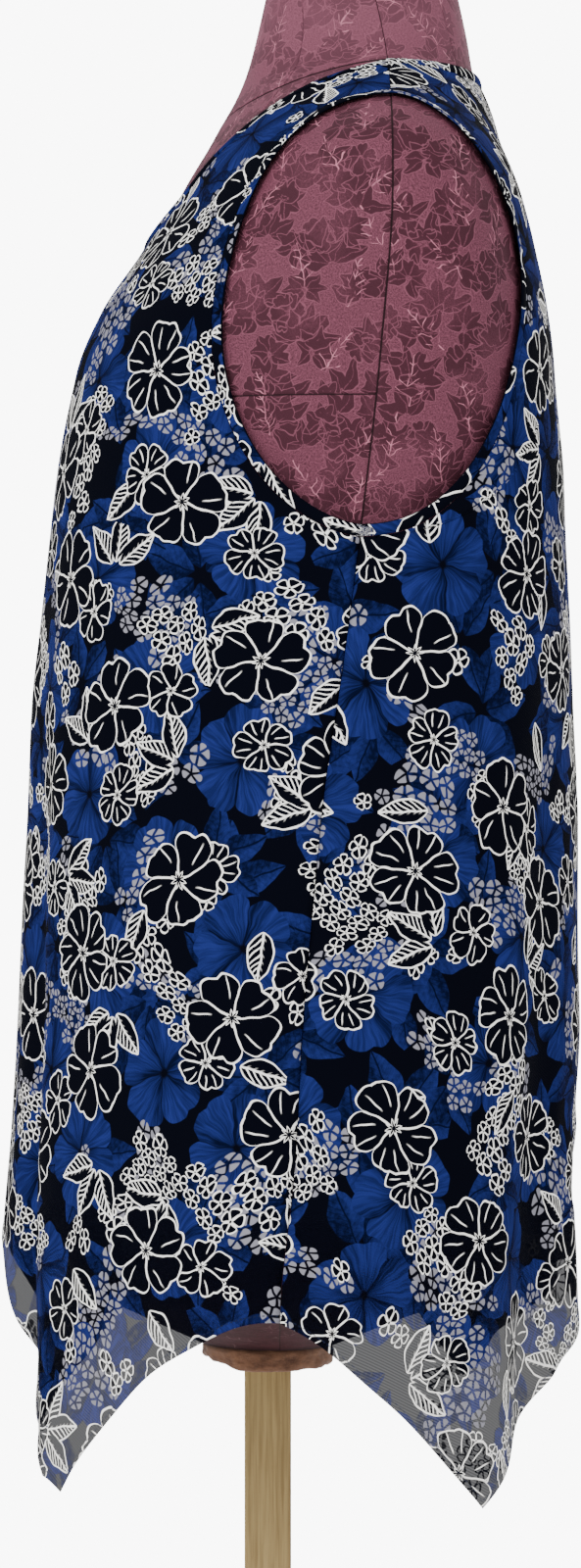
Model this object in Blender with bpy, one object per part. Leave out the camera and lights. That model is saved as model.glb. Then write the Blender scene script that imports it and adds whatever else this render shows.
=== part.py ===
"""Sleeveless tunic top with a four-point hem, on a limbless dress form with a wooden stand.

Metres, +Z up. The front faces -Y and the wearer's left is +X. The origin is the middle of the stand's underside.
A point of the body or of the cloth is given by its height and by its angle about the seam line, which runs down
both sides through the shoulder seams and the side seams: 0 degrees is the left side seam, -90 the centre front,
90 the centre back and 180 the right side seam.
"""

import math

import bmesh
import bpy
import numpy as np

COLLECTION = "tunic_on_dress_form"

# The cloth and how its pieces meet.
WALL = 0.0013  # the panels
BINDING_WALL = 0.0017
BINDING_PROUD = 0.0004  # how far a binding stands out past the panel beside it
BINDING_WIDTH = 0.007
SEAM_GAP = 0.0003
CLEARANCE = 0.0024  # between the form and the cloth round it
SHOULDER_CLEARANCE = 0.0011  # and where the cloth rests on the form's shoulders
SHOULDER_Z = (1.345, 1.31)  # the clearance changes between these heights

# The armholes, measured across the side of the body from the seam line.
UNDERARM_Z = 1.108
STRAP_END_Z = 1.352  # where the shoulder seam ends at the armhole
ARMHOLE_FRONT = 0.088
ARMHOLE_BACK = 0.075
ARMHOLE_FULLNESS = {-1: (1.3, 0.92), 1: (0.9, 1.2)}  # front and back: how pinched the lower and upper half are
SHOULDER_SLOPE = 0.44  # height along a length of the shoulder seam
ARMHOLE_MIDDLE = (0.18, 0.062, 1.23)
NECK_MIDDLE = (0, 0.06, 1.42)

# The stand.
POST_SIDE = 0.028
BASE_SIDE = 0.42
BASE_THICK = 0.027
PLATE_RADIUS = 0.0405
PLATE_Z = (0.6165, 0.6295)
PLATE_ROUNDING = 0.003
BOARD_ROUNDING = 0.003
POST_ROUNDING = 0.0015
FIT_GAP = 0.0003
NECK_TOP_Z = 1.445

# How finely the pieces are divided.
FORM_SEGMENTS = 44
PANEL_ROWS = 16
STRAP_ROWS = 14
CHEST_DIP = 0.035  # how far the row of points across the chest sinks under each strap
ROUNDNESS_ACROSS = 1.8  # the least roundness of a section towards the centre front and back


class Table:
    """Rows of sizes at rising heights, read along a smooth curve that doesn't overshoot them."""

    def __init__(self, columns, rows):
        self.columns = columns
        self.values = np.array(sorted(rows), float).T
        self.heights = self.values[0]
        self.slopes = [self.steady_slopes(column) for column in self.values]

    def steady_slopes(self, column):
        step = np.diff(self.heights)
        rise = np.diff(column) / step
        slopes = np.zeros(len(column))
        same_way = rise[1:] * rise[:-1] > 0
        before, after = rise[:-1][same_way], rise[1:][same_way]
        slopes[1:-1][same_way] = 2 * before * after / (before + after)
        slopes[0], slopes[-1] = rise[0], rise[-1]
        return slopes

    def at(self, name, height):
        k = self.columns.index(name)
        height = np.clip(height, self.heights[0], self.heights[-1])
        i = np.clip(np.searchsorted(self.heights, height) - 1, 0, len(self.heights) - 2)
        step = self.heights[i + 1] - self.heights[i]
        t = (height - self.heights[i]) / step
        low, high = self.values[k][i], self.values[k][i + 1]
        low_slope, high_slope = self.slopes[k][i] * step, self.slopes[k][i + 1] * step
        return (
            low * (1 + 2 * t) * (1 - t) ** 2
            + low_slope * t * (1 - t) ** 2
            + high * t * t * (3 - 2 * t)
            + high_slope * t * t * (t - 1)
        )


# Where the seam line runs, front to back.
SEAM_LINE = Table(
    ("z", "y"),
    [
        (0.52, 0.006),
        (0.68, 0.008),
        (0.76, 0.016),
        (0.83, 0.020),
        (0.91, 0.027),
        (0.96, 0.032),
        (1.02, 0.041),
        (1.11, 0.053),
        (1.20, 0.063),
        (1.30, 0.070),
        (1.38, 0.070),
        (1.45, 0.058),
    ],
)

# The dress form: its front and back at the centre, its half width, and how square each side's sections are.
SECTION_COLUMNS = ("z", "front", "back", "half_width", "front_round", "back_round")
FORM = Table(
    SECTION_COLUMNS,
    [
        (0.6298, -0.041, 0.043, 0.042, 2.0, 2.0),
        (0.652, -0.083, 0.092, 0.110, 2.1, 2.1),
        (0.672, -0.114, 0.137, 0.170, 2.2, 2.2),
        (0.690, -0.121, 0.145, 0.184, 2.2, 2.2),
        (0.760, -0.125, 0.150, 0.191, 2.3, 2.3),
        (0.860, -0.118, 0.146, 0.180, 2.3, 2.3),
        (0.950, -0.100, 0.130, 0.150, 2.2, 2.2),
        (1.020, -0.101, 0.137, 0.153, 2.2, 2.3),
        (1.100, -0.109, 0.162, 0.170, 2.4, 2.4),
        (1.160, -0.1155, 0.1680, 0.179, 2.5, 2.5),
        (1.206, -0.1110, 0.1670, 0.184, 2.4, 2.5),
        (1.242, -0.0970, 0.1625, 0.187, 2.25, 2.6),
        (1.277, -0.0745, 0.155, 0.188, 2.0, 2.6),
        (1.300, -0.0615, 0.1495, 0.187, 1.85, 2.5),
        (1.323, -0.049, 0.1435, 0.181, 1.65, 2.2),
        (1.345, -0.036, 0.1375, 0.158, 1.5, 1.85),
        (1.358, -0.029, 0.1345, 0.134, 1.4, 1.6),
        (1.372, -0.021, 0.130, 0.107, 1.45, 1.6),
        (1.384, -0.0155, 0.1250, 0.083, 1.7, 1.8),
        (1.395, -0.0115, 0.1225, 0.0700, 2.0, 2.0),
        (1.410, -0.0075, 0.1200, 0.0630, 2.1, 2.1),
        (1.445, 0.0005, 0.1125, 0.0570, 2.1, 2.1),
    ],
)

# The cloth's outer face where it hangs clear of the form.
HANGING = Table(
    SECTION_COLUMNS,
    [
        (0.52, -0.162, 0.184, 0.268, 1.95, 2.0),
        (0.60, -0.160, 0.184, 0.262, 2.0, 2.0),
        (0.70, -0.157, 0.183, 0.250, 2.0, 2.1),
        (0.76, -0.1525, 0.183, 0.241, 2.1, 2.1),
        (0.82, -0.149, 0.1865, 0.231, 2.1, 2.2),
        (0.90, -0.1455, 0.185, 0.218, 2.2, 2.2),
        (0.94, -0.1435, 0.185, 0.211, 2.2, 2.2),
        (1.01, -0.141, 0.182, 0.199, 2.3, 2.3),
        (1.06, -0.136, 0.180, 0.1915, 2.4, 2.4),
        (1.11, -0.1305, 0.1775, 0.1850, 2.5, 2.4),
        (1.15, -0.1255, 0.176, 0.1835, 2.6, 2.5),
        (1.206, -0.1175, 0.172, 0.187, 2.5, 2.5),
        (1.26, -0.089, 0.163, 0.190, 2.2, 2.5),
    ],
)
CLINGS_Z = (1.15, 1.22)  # between these heights the cloth goes from hanging to lying on the form

# The neckline's height by angle from the centre front and from the centre back.
FRONT_NECKLINE = Table(
    ("from_centre", "z"),
    [(0, 1.289), (13, 1.291), (23, 1.298), (30, 1.308), (38, 1.3265), (48, 1.3455), (62, 1.366), (90, 1.384)],
)
BACK_NECKLINE = Table(("from_centre", "z"), [(0, 1.3875), (45, 1.3868), (90, 1.384)])

# The hem hangs in four points. Each row is a high or a low place of one panel: its angle from the left side
# seam, its height, and the columns of the mesh up to it from the place before.
FRONT_HEM = [(0, 0.677, 0), (33, 0.575, 7), (90, 0.702, 13), (133, 0.553, 12), (180, 0.680, 8)]
BACK_HEM = [(0, 0.677, 0), (27.5, 0.570, 7), (90, 0.678, 13), (150, 0.575, 13), (180, 0.680, 7)]

# The largest folds. A fold stands out by its depth at the hem, or in where that is negative, and fades to nothing
# at its top.
FOLD_COLUMNS = ("top_angle", "hem_angle", "top_z", "depth", "width")
FOLDS = [
    (-63, -39, 1.17, 0.004, 6.0),
    (-71, -50, 1.16, -0.020, 6.5),
    (-84, -80, 1.08, 0.003, 8.0),
    (-22, -22, 0.92, -0.006, 8.0),
    (-8, -6, 1.00, 0.004, 6.0),
    (-117, -133, 1.17, 0.012, 6.5),
    (-109, -119, 1.13, -0.014, 6.0),
    (-99, -102, 1.02, 0.006, 7.0),
    (-160, -158, 0.94, -0.006, 8.0),
    (36, 29, 1.16, 0.006, 6.0),
    (46, 42, 1.14, -0.010, 6.0),
    (58, 61, 0.98, 0.009, 7.0),
    (74, 76, 0.90, -0.008, 7.0),
    (104, 106, 0.92, -0.009, 7.0),
    (120, 121, 1.00, 0.010, 7.0),
    (135, 136, 1.12, -0.010, 6.0),
    (146, 149, 1.16, 0.010, 6.0),
]
HEM_Z = 0.60  # where a fold has its full depth


def smoothstep(low, high, value):
    t = np.clip((value - low) / (high - low), 0, 1)
    return t * t * (3 - 2 * t)


def section_radius(table, angle, z):
    """How far a section reaches from the seam line at an angle, found by halving."""
    across, along = np.abs(np.cos(angle)), np.abs(np.sin(angle))
    is_back = np.sin(angle) > 0
    seam = SEAM_LINE.at("y", z)
    depth = np.where(is_back, table.at("back", z) - seam, seam - table.at("front", z))
    roundness = np.where(is_back, table.at("back_round", z), table.at("front_round", z))
    half_width = table.at("half_width", z)
    flatness = np.maximum(roundness, ROUNDNESS_ACROSS)
    low, high = np.zeros_like(depth), 2 * (half_width + depth)
    for _ in range(40):
        middle = (low + high) / 2
        outside = (middle * across / half_width) ** flatness + (middle * along / depth) ** roundness > 1
        low, high = np.where(outside, low, middle), np.where(outside, middle, high)
    return (low + high) / 2


def form_radius(angle, z):
    return section_radius(FORM, angle, z)


def fold_depth(angle, z):
    """How far the folds move the cloth in or out."""
    total = np.zeros_like(angle)
    for fold in FOLDS:
        row = dict(zip(FOLD_COLUMNS, fold))
        fall = np.clip((row["top_z"] - z) / (row["top_z"] - HEM_Z), 0, 1.1)
        middle = row["top_angle"] + (row["hem_angle"] - row["top_angle"]) * np.clip(fall, 0, 1)
        away = (np.degrees(angle) - middle + 180) % 360 - 180
        total = total + row["depth"] * fall**1.4 * np.exp(-((away / row["width"]) ** 2))
    return total


def raised(radius, angle, z, distance):
    """The radius of a surface that lies a distance outside another, measured square to it."""
    turn, lift = 0.01, 0.001
    around = (radius(angle + turn, z) - radius(angle - turn, z)) / (2 * turn)
    upward = (radius(angle, z + lift) - radius(angle, z - lift)) / (2 * lift)
    here = radius(angle, z)
    return here + distance * np.sqrt(1 + upward**2 + (around / here) ** 2)


def cloth_radius(angle, z):
    """The outer face of the panels."""
    clearance = SHOULDER_CLEARANCE + (CLEARANCE - SHOULDER_CLEARANCE) * smoothstep(*SHOULDER_Z, z)
    lying = raised(form_radius, angle, z, clearance + WALL)
    hanging = section_radius(HANGING, angle, z) + fold_depth(angle, z)
    clings = smoothstep(*CLINGS_Z, z)
    return np.maximum(hanging * (1 - clings) + lying * clings, lying)


def cloth_inner_radius(angle, z):
    return raised(cloth_radius, angle, z, -WALL)


def binding_radius(angle, z):
    return raised(cloth_radius, angle, z, BINDING_PROUD)


def binding_inner_radius(angle, z):
    return raised(cloth_radius, angle, z, BINDING_PROUD - BINDING_WALL)


def surface(radius, angle, z):
    """Points on a surface, one row of x, y, z each."""
    angle, z = np.asarray(angle, float), np.asarray(z, float)
    reach = radius(angle, z)
    return np.stack([reach * np.cos(angle), SEAM_LINE.at("y", z) + reach * np.sin(angle), z], axis=-1)


def inset_edge(angle, z, width, hole_middle):
    """A hole's edge moved into the cloth by a width, along the cloth and away from the middle of the hole."""
    points = surface(cloth_radius, angle, z)
    along = np.gradient(points, axis=0)
    along /= np.linalg.norm(along, axis=1)[:, None]
    step = 0.0005
    out = np.cross(
        surface(cloth_radius, angle + step, z) - surface(cloth_radius, angle - step, z),
        surface(cloth_radius, angle, z + step) - surface(cloth_radius, angle, z - step),
    )
    out /= np.linalg.norm(out, axis=1)[:, None]
    inward = np.cross(out, along)
    inward *= np.sign((inward * (points - hole_middle)).sum(axis=1))[:, None]
    moved = points + inward * width
    moved_angle = np.arctan2(moved[:, 1] - SEAM_LINE.at("y", moved[:, 2]), moved[:, 0])
    return moved_angle, moved[:, 2]


def strap_steps():
    """The rows up a strap, from 0 at the underarm to 1 at the shoulder seam."""
    even = np.linspace(0, 1, STRAP_ROWS + 1)
    return even + 0.035 * np.sin(2 * math.pi * even)


def armhole_edge(half):
    """The left armhole's edge on the front (half -1) or back (half 1), as angles and heights."""
    turn = math.pi * (1 - strap_steps())
    middle, reach = (STRAP_END_Z + UNDERARM_Z) / 2, (STRAP_END_Z - UNDERARM_Z) / 2
    z = middle + reach * np.cos(turn)
    lower, upper = ARMHOLE_FULLNESS[half]
    pinch = np.where(z < middle, lower, upper)
    aside = (ARMHOLE_FRONT if half < 0 else ARMHOLE_BACK) * np.sin(turn).clip(0) ** pinch
    seam = SEAM_LINE.at("y", z)
    depth = np.where(half > 0, FORM.at("back", z) - seam, seam - FORM.at("front", z))
    roundness = FORM.at("back_round" if half > 0 else "front_round", z)
    flatness = np.maximum(roundness, ROUNDNESS_ACROSS)
    out = FORM.at("half_width", z) * (1 - (aside / depth) ** roundness) ** (1 / flatness)
    return half * np.arctan2(aside, out), z


def neck_edge(half):
    """The left half of the neckline on the front or back, from the centre to the shoulder."""
    table = FRONT_NECKLINE if half < 0 else BACK_NECKLINE
    from_centre = 90 * strap_steps()
    return half * np.radians(90 - from_centre), table.at("z", from_centre)


def edges(half, width):
    """The left armhole's and neckline's edges, moved into the cloth by a width."""
    armhole, neck = armhole_edge(half), neck_edge(half)
    if not width:
        return armhole, neck
    inner_armhole = inset_edge(*armhole, width, ARMHOLE_MIDDLE)
    inner_neck = inset_edge(*neck, width, NECK_MIDDLE)
    for edge, outline, rise in ((inner_armhole, armhole, width), (inner_neck, neck, -width)):
        edge[0][-1], edge[1][-1] = 0, outline[1][-1] + rise * SHOULDER_SLOPE  # on the shoulder seam
    inner_armhole[0][0], inner_armhole[1][0] = 0, UNDERARM_Z - width
    inner_neck[0][0] = half * math.pi / 2
    return inner_armhole, inner_neck


def column_angles(hem):
    """The panel's columns as degrees from the left side seam, with one at each high and low place of the hem."""
    angles = [hem[0][0]]
    for (start, _, _), (end, _, count) in zip(hem, hem[1:]):
        angles.extend(start + (end - start) * (k + 1) / count for k in range(count))
    return np.array(angles, float)


def hem_height(hem, degrees):
    """The hem falls straight to each point and is level where it is high."""
    heights = np.zeros_like(degrees)
    for (start, start_z, _), (end, end_z, _) in zip(hem, hem[1:]):
        here = (degrees >= start) & (degrees <= end)
        t = (degrees[here] - start) / (end - start)
        if end_z < start_z:
            heights[here] = end_z + (start_z - end_z) * np.sin((1 - t) * math.pi / 2)
        else:
            heights[here] = start_z + (end_z - start_z) * np.sin(t * math.pi / 2)
    return heights


def chest_height(neck_z, underarm_z, degrees):
    """The row from underarm to underarm that the straps rise from."""
    swing = np.sin(np.radians(degrees))
    return underarm_z + (neck_z - underarm_z) * swing**2 - CHEST_DIP * np.sin(np.radians(2 * degrees)) ** 2


def centre_column(degrees):
    return int(np.argmin(np.abs(degrees - 90)))


def strap_rows(degrees, chest, armhole, neck):
    """A strap's rows from its armhole to its neckline, for columns in degrees from the side seam to the centre."""
    share = degrees / 90
    bend = chest - (armhole[1][0] + (neck[1][0] - armhole[1][0]) * share)
    rows = []
    for k in range(1, STRAP_ROWS + 1):
        angle = armhole[0][k] + (neck[0][k] - armhole[0][k]) * share
        z = armhole[1][k] + (neck[1][k] - armhole[1][k]) * share + bend * (1 - k / STRAP_ROWS) ** 2
        rows.append((angle, z))
    return rows


def panel_grid(half):
    """A panel's rows of angles and heights: the rows below the arms, then the left and the right strap."""
    hem = FRONT_HEM if half < 0 else BACK_HEM
    degrees = column_angles(hem)
    armhole, neck = edges(half, BINDING_WIDTH)
    chest = chest_height(neck[1][0], armhole[1][0], degrees)
    lowest = hem_height(hem, degrees)
    shares = 1 - (1 - np.linspace(0, 1, PANEL_ROWS + 1)) ** 1.3  # closer rows towards the chest
    body = [(half * np.radians(degrees), lowest + (chest - lowest) * share) for share in shares]
    centre = centre_column(degrees)
    left = strap_rows(degrees[: centre + 1], chest[: centre + 1], armhole, neck)
    right = strap_rows(180 - degrees[: centre - 1 : -1], chest[: centre - 1 : -1], armhole, neck)
    return body, left, [(half * math.pi - angle, z) for angle, z in right]


def add_row(bm, inner_of, row, half):
    """A row of points on the cloth's outer face, each paired with its point on the inner face."""
    outer, inner = surface(cloth_radius, *row), surface(cloth_inner_radius, *row)
    on_seam = np.abs(np.sin(row[0])) < 1e-6
    outer[on_seam, 1] += half * SEAM_GAP / 2
    inner[on_seam, 1] += half * SEAM_GAP / 2
    verts = [bm.verts.new(p) for p in outer]
    inner_of.update(zip(verts, (bm.verts.new(p) for p in inner)))
    return verts


def join_rows(bm, lower, upper, half):
    """A strip of faces between two rows, facing out."""
    for a, b, c, d in zip(lower, lower[1:], upper[1:], upper):
        bm.faces.new((a, b, c, d) if half > 0 else (b, a, d, c))


def close_wall(bm, inner_of):
    """The inner face, and the rim that joins it to the outer one."""
    faces = list(bm.faces)
    open_loops = [edge.link_loops[0] for edge in bm.edges if edge.is_boundary]
    rims = [(loop.link_loop_next.vert, loop.vert) for loop in open_loops]
    for face in faces:
        bm.faces.new([inner_of[v] for v in reversed(face.verts)])
    for a, b in rims:
        bm.faces.new((a, b, inner_of[b], inner_of[a]))


def finish(name, bm, material, smooth=True):
    bmesh.ops.triangulate(bm, faces=bm.faces, quad_method="SHORT_EDGE")
    mesh = bpy.data.meshes.new(name)
    bm.to_mesh(mesh)
    bm.free()
    if smooth:
        mesh.shade_smooth()
    mesh.materials.append(material)
    bpy.data.collections[COLLECTION].objects.link(bpy.data.objects.new(name, mesh))


def make_panel(name, half, material):
    body, left, right = panel_grid(half)
    bm = bmesh.new()
    inner_of = {}
    rows = [add_row(bm, inner_of, row, half) for row in body]
    for lower, upper in zip(rows, rows[1:]):
        join_rows(bm, lower, upper, half)
    chest = rows[-1]
    centre = centre_column(column_angles(FRONT_HEM if half < 0 else BACK_HEM))
    for straps, start, side in ((left, chest[: centre + 1], half), (right, chest[: centre - 1 : -1], -half)):
        lower = start
        for row in straps:
            upper = add_row(bm, inner_of, row, half)
            join_rows(bm, lower, upper, side)
            lower = upper
    close_wall(bm, inner_of)
    finish(name, bm, material)


def make_binding(name, outline, inset, material):
    """A closed strip between the garment's edge and the edge of the panels."""
    bm = bmesh.new()
    inner_of = {}
    rows = []
    for edge in (outline, inset):
        outer, inner = surface(binding_radius, *edge), surface(binding_inner_radius, *edge)
        rows.append([bm.verts.new(p) for p in outer])
        inner_of.update(zip(rows[-1], (bm.verts.new(p) for p in inner)))
    join_rows(bm, rows[0] + rows[0][:1], rows[1] + rows[1][:1], 1)
    bm.normal_update()
    face = bm.faces[:][0]
    if face.normal.dot(face.verts[0].co - inner_of[face.verts[0]].co) < 0:
        bmesh.ops.reverse_faces(bm, faces=bm.faces)
    close_wall(bm, inner_of)
    finish(name, bm, material)


def mirrored(edge):
    """The same edge on the wearer's right."""
    return math.pi - edge[0], edge[1]


def loop(*stretches):
    """Stretches of an edge joined into one round, each without its last point."""
    return tuple(np.concatenate([stretch[k][:-1] for stretch in stretches]) for k in (0, 1))


def backwards(edge):
    return edge[0][::-1], edge[1][::-1]


def make_bindings(material):
    outline = {half: edges(half, 0) for half in (-1, 1)}
    inner = {half: edges(half, BINDING_WIDTH - SEAM_GAP) for half in (-1, 1)}
    arm, neck = 0, 1
    left = [loop(e[-1][arm], backwards(e[1][arm])) for e in (outline, inner)]
    make_binding("armhole_binding_left", *left, material)
    make_binding("armhole_binding_right", *(mirrored(edge) for edge in left), material)
    rounds = [
        loop(e[-1][neck], backwards(e[1][neck]), mirrored(e[1][neck]), backwards(mirrored(e[-1][neck])))
        for e in (outline, inner)
    ]
    make_binding("neck_binding", *rounds, material)


def make_form(material):
    heights = [0.6298, 0.640, 0.652, 0.663, 0.672, 0.680, 0.690, 0.72, 0.76, 0.81, 0.86, 0.905, 0.95, 0.985]
    heights += [1.02, 1.06, 1.10, 1.13, 1.16, 1.19, 1.21, 1.235, 1.26, 1.28, 1.30, 1.315, 1.328, 1.338]
    heights += [1.347, 1.356, 1.365, 1.374, 1.382, 1.390, 1.40, 1.42, 1.438, NECK_TOP_Z]
    angles = np.radians(np.arange(FORM_SEGMENTS) * 360 / FORM_SEGMENTS)
    bm = bmesh.new()
    rings = []
    for z in heights:
        points = surface(form_radius, angles, np.full_like(angles, z))
        rings.append([bm.verts.new(p) for p in points])
    for lower, upper in zip(rings, rings[1:]):
        join_rows(bm, lower + lower[:1], upper + upper[:1], 1)
    bm.faces.new(reversed(rings[0]))
    bm.faces.new(rings[-1])
    finish("form_body", bm, material)


def round_edges(bm, width):
    """Rounds the edges that two faces share at a sharp angle."""
    sharp = [edge for edge in bm.edges if edge.calc_face_angle() > math.radians(40)]
    bmesh.ops.bevel(
        bm, geom=sharp, offset=width, affect="EDGES", segments=2, profile=0.5, material=-1, clamp_overlap=True
    )


def make_block(name, size, centre, rounding, material):
    bm = bmesh.new()
    bmesh.ops.create_cube(bm, size=1)
    bmesh.ops.scale(bm, verts=bm.verts, vec=size)
    bmesh.ops.translate(bm, verts=bm.verts, vec=centre)
    round_edges(bm, rounding)
    finish(name, bm, material, smooth=False)


def make_plate(material):
    low, high = PLATE_Z
    bm = bmesh.new()
    bmesh.ops.create_cone(
        bm, cap_ends=True, segments=28, radius1=PLATE_RADIUS, radius2=PLATE_RADIUS, depth=high - low
    )
    bmesh.ops.translate(bm, verts=bm.verts, vec=(0, 0, (low + high) / 2))
    round_edges(bm, PLATE_ROUNDING)
    finish("bottom_plate", bm, material, smooth=False)


def make_material(name, colour, roughness):
    material = bpy.data.materials.new(name)
    material.use_nodes = True
    shader = material.node_tree.nodes["Principled BSDF"]
    shader.inputs["Base Color"].default_value = (*colour, 1)
    shader.inputs["Roughness"].default_value = roughness
    shader.inputs["Metallic"].default_value = 0
    return material


def start_empty():
    for thing in list(bpy.data.objects):
        bpy.data.objects.remove(thing)
    bpy.context.scene.collection.children.link(bpy.data.collections.new(COLLECTION))


def main():
    start_empty()
    print_cloth = make_material("print_cloth", (0.02, 0.04, 0.14), 0.8)
    binding_cloth = make_material("binding_cloth", (0.01, 0.02, 0.06), 0.8)
    form_cloth = make_material("form_cloth", (0.19, 0.045, 0.07), 0.6)
    plate_leather = make_material("plate_leather", (0.18, 0.08, 0.035), 0.75)
    pine = make_material("pine", (0.45, 0.32, 0.17), 0.6)
    make_panel("front_panel", -1, print_cloth)
    make_panel("back_panel", 1, print_cloth)
    make_bindings(binding_cloth)
    make_form(form_cloth)
    make_plate(plate_leather)
    post_low, post_high = BASE_THICK + FIT_GAP, PLATE_Z[0] - FIT_GAP
    post_size = (POST_SIDE, POST_SIDE, post_high - post_low)
    make_block("post", post_size, (0, 0, (post_low + post_high) / 2), POST_ROUNDING, pine)
    base_size = (BASE_SIDE, BASE_SIDE, BASE_THICK)
    make_block("base_board", base_size, (0, 0, BASE_THICK / 2), BOARD_ROUNDING, pine)


main()
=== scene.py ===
"""Sleeveless tunic top in thin printed cloth, on a limbless dress form with a wooden post and base.

Metres, +Z up. The front faces -Y and the wearer's left is +X. A point of the body or of the cloth is given
by its height and by its angle about the seam line, which runs down both sides through the shoulder seams
and the side seams: 0 degrees is the left side seam, -90 the centre front, 90 the centre back and 180 the
right side seam. A half of the tunic is -1 for the front and 1 for the back.
"""

import math

import bmesh
import bpy
import numpy as np
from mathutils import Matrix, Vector, noise


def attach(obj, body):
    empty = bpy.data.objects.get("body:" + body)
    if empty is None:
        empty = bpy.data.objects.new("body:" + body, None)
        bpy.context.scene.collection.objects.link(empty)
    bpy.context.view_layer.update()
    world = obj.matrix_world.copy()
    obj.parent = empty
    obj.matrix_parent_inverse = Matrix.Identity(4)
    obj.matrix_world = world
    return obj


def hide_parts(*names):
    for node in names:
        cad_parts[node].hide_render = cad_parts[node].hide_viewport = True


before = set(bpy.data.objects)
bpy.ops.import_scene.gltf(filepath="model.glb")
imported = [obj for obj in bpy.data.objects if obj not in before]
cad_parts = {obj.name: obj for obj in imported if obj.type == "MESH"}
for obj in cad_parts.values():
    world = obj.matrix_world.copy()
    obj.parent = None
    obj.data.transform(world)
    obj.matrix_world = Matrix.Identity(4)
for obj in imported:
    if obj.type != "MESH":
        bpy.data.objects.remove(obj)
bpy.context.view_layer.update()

# The cloth and how its pieces meet.
WALL = 0.0013  # the solid panels, whose outer faces the cloth follows
CLOTH_THICKNESS = 0.0005
BINDING_THICKNESS = 0.7 * CLOTH_THICKNESS
BINDING_WIDTH = 0.007  # what shows of a binding
NARROW_HEM = 0.005
HEM_EASE = 0.001  # the height over which the narrow hem's step falls away
HEM_ROWS = (0, 0.0012, NARROW_HEM - HEM_EASE, NARROW_HEM)  # rows of the cloth, above its lower edge
ABOVE_HEM = 0.016  # where the next row lies, as a share of the way up to the chest
HEM_TURNING = 0.0005  # how far the narrow hem stands out
HEM_WAVE = 0.0012  # how far the hem's height waves
FAR_FROM_HEM = 0.5  # what the straps' map says, which is too far for the hem's stitches
SEAM_GAP = 0.0003
SEAM_PULL, SEAM_PULL_WIDTH = 0.0010, 0.0022  # how deep a side seam is drawn in, and over what width
PUCKER, PUCKER_WIDTH = 0.0004, 0.012  # the same for the small puckers beside it
PUCKER_WAVES = 260  # radians of wave to a metre of the seam
UNEVENNESS = 0.0012  # how far light cloth is out of true, most where it hangs loose
UNEVEN_WAVES = (22, 22, 7)  # how quickly that changes along each axis, slowest up and down
MERGE_DISTANCE = 0.0001  # points of neighbouring grids this close are one
SHEER_Z = 0.75  # below this height light comes through the cloth
CLEARANCE = 0.0024  # between the form and the panels' inner faces
SHOULDER_CLEARANCE = 0.0011
SHOULDER_Z = (1.345, 1.31)  # between these the one clearance turns into the other
BODY_MIDDLE = (0, 0.03, 1.0)

# The armholes, measured across the side of the body from the seam line.
UNDERARM_Z = 1.108
STRAP_END_Z = 1.352
ARMHOLE_FRONT = 0.088
ARMHOLE_BACK = 0.075
ARMHOLE_FULLNESS = {-1: (1.3, 0.92), 1: (0.9, 1.2)}  # each half's powers, below and above its middle
SHOULDER_SLOPE = 0.44
ARMHOLE_MIDDLE = (0.18, 0.062, 1.23)
NECK_MIDDLE = (0, 0.06, 1.42)
CHEST_DIP = 0.035  # how far the row that the straps rise from sags between underarm and centre
ROUNDNESS_ACROSS = 1.8  # the least power of a section's curve towards its sides

# The stand.
PLATE_RADIUS = 0.0405
PLATE_Z = (0.6165, 0.6295)
PLATE_INSETS = (0.0055, 0.006)  # the rings that its flat faces are divided into, from the rim inwards
PLATE_THINNER = 0.0048  # how much thinner the plate is at its front
PLATE_WORN = 0.0014  # how far its rim is worn back
PLATE_ROUNDED = 0.0016  # how far the corners of its rim are rounded off
PLATE_WAVY, PLATE_ROUGH = 0.0012, 0.0006  # the rim's broad and fine unevenness
PLATE_SAG, PLATE_RAGGED = 0.0014, 0.0012  # the same for its lower edge
NECK_TOP_Z = 1.445

# How finely the pieces are divided.
COLUMNS_FINER = 4  # columns of the cloth for each one named in the hem tables
BODY_ROWS = 150
STRAP_ROWS = 64
FORM_COLUMNS = 168

# The camera, square to the wearer's left side, the white surroundings and the floor.
CAMERA_DISTANCE = 2.2
CAMERA_Y, CAMERA_Z = 0.01357, 0.96458
VIEW_HEIGHT = 0.944  # what the view takes in at that distance
ROOM_LIGHT = 1.4  # what the white surroundings give off
BACKDROP_BRIGHTNESS = 9.0  # how bright the camera sees them
FLOOR_RADIUS = 2.1

# The lamps, all aimed at the middle of the object: where each stands, its size and its power.
LAMPS_AIM = (0, 0, 1.0)
LAMPS = {
    "key": ((2.4, -1.6, 2.3), 1.4, 74),
    "fill": ((2.2, 2.0, 1.5), 1.8, 14),
    "back_fill": ((-2.4, 0.6, 2.0), 1.8, 22),
}


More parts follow.
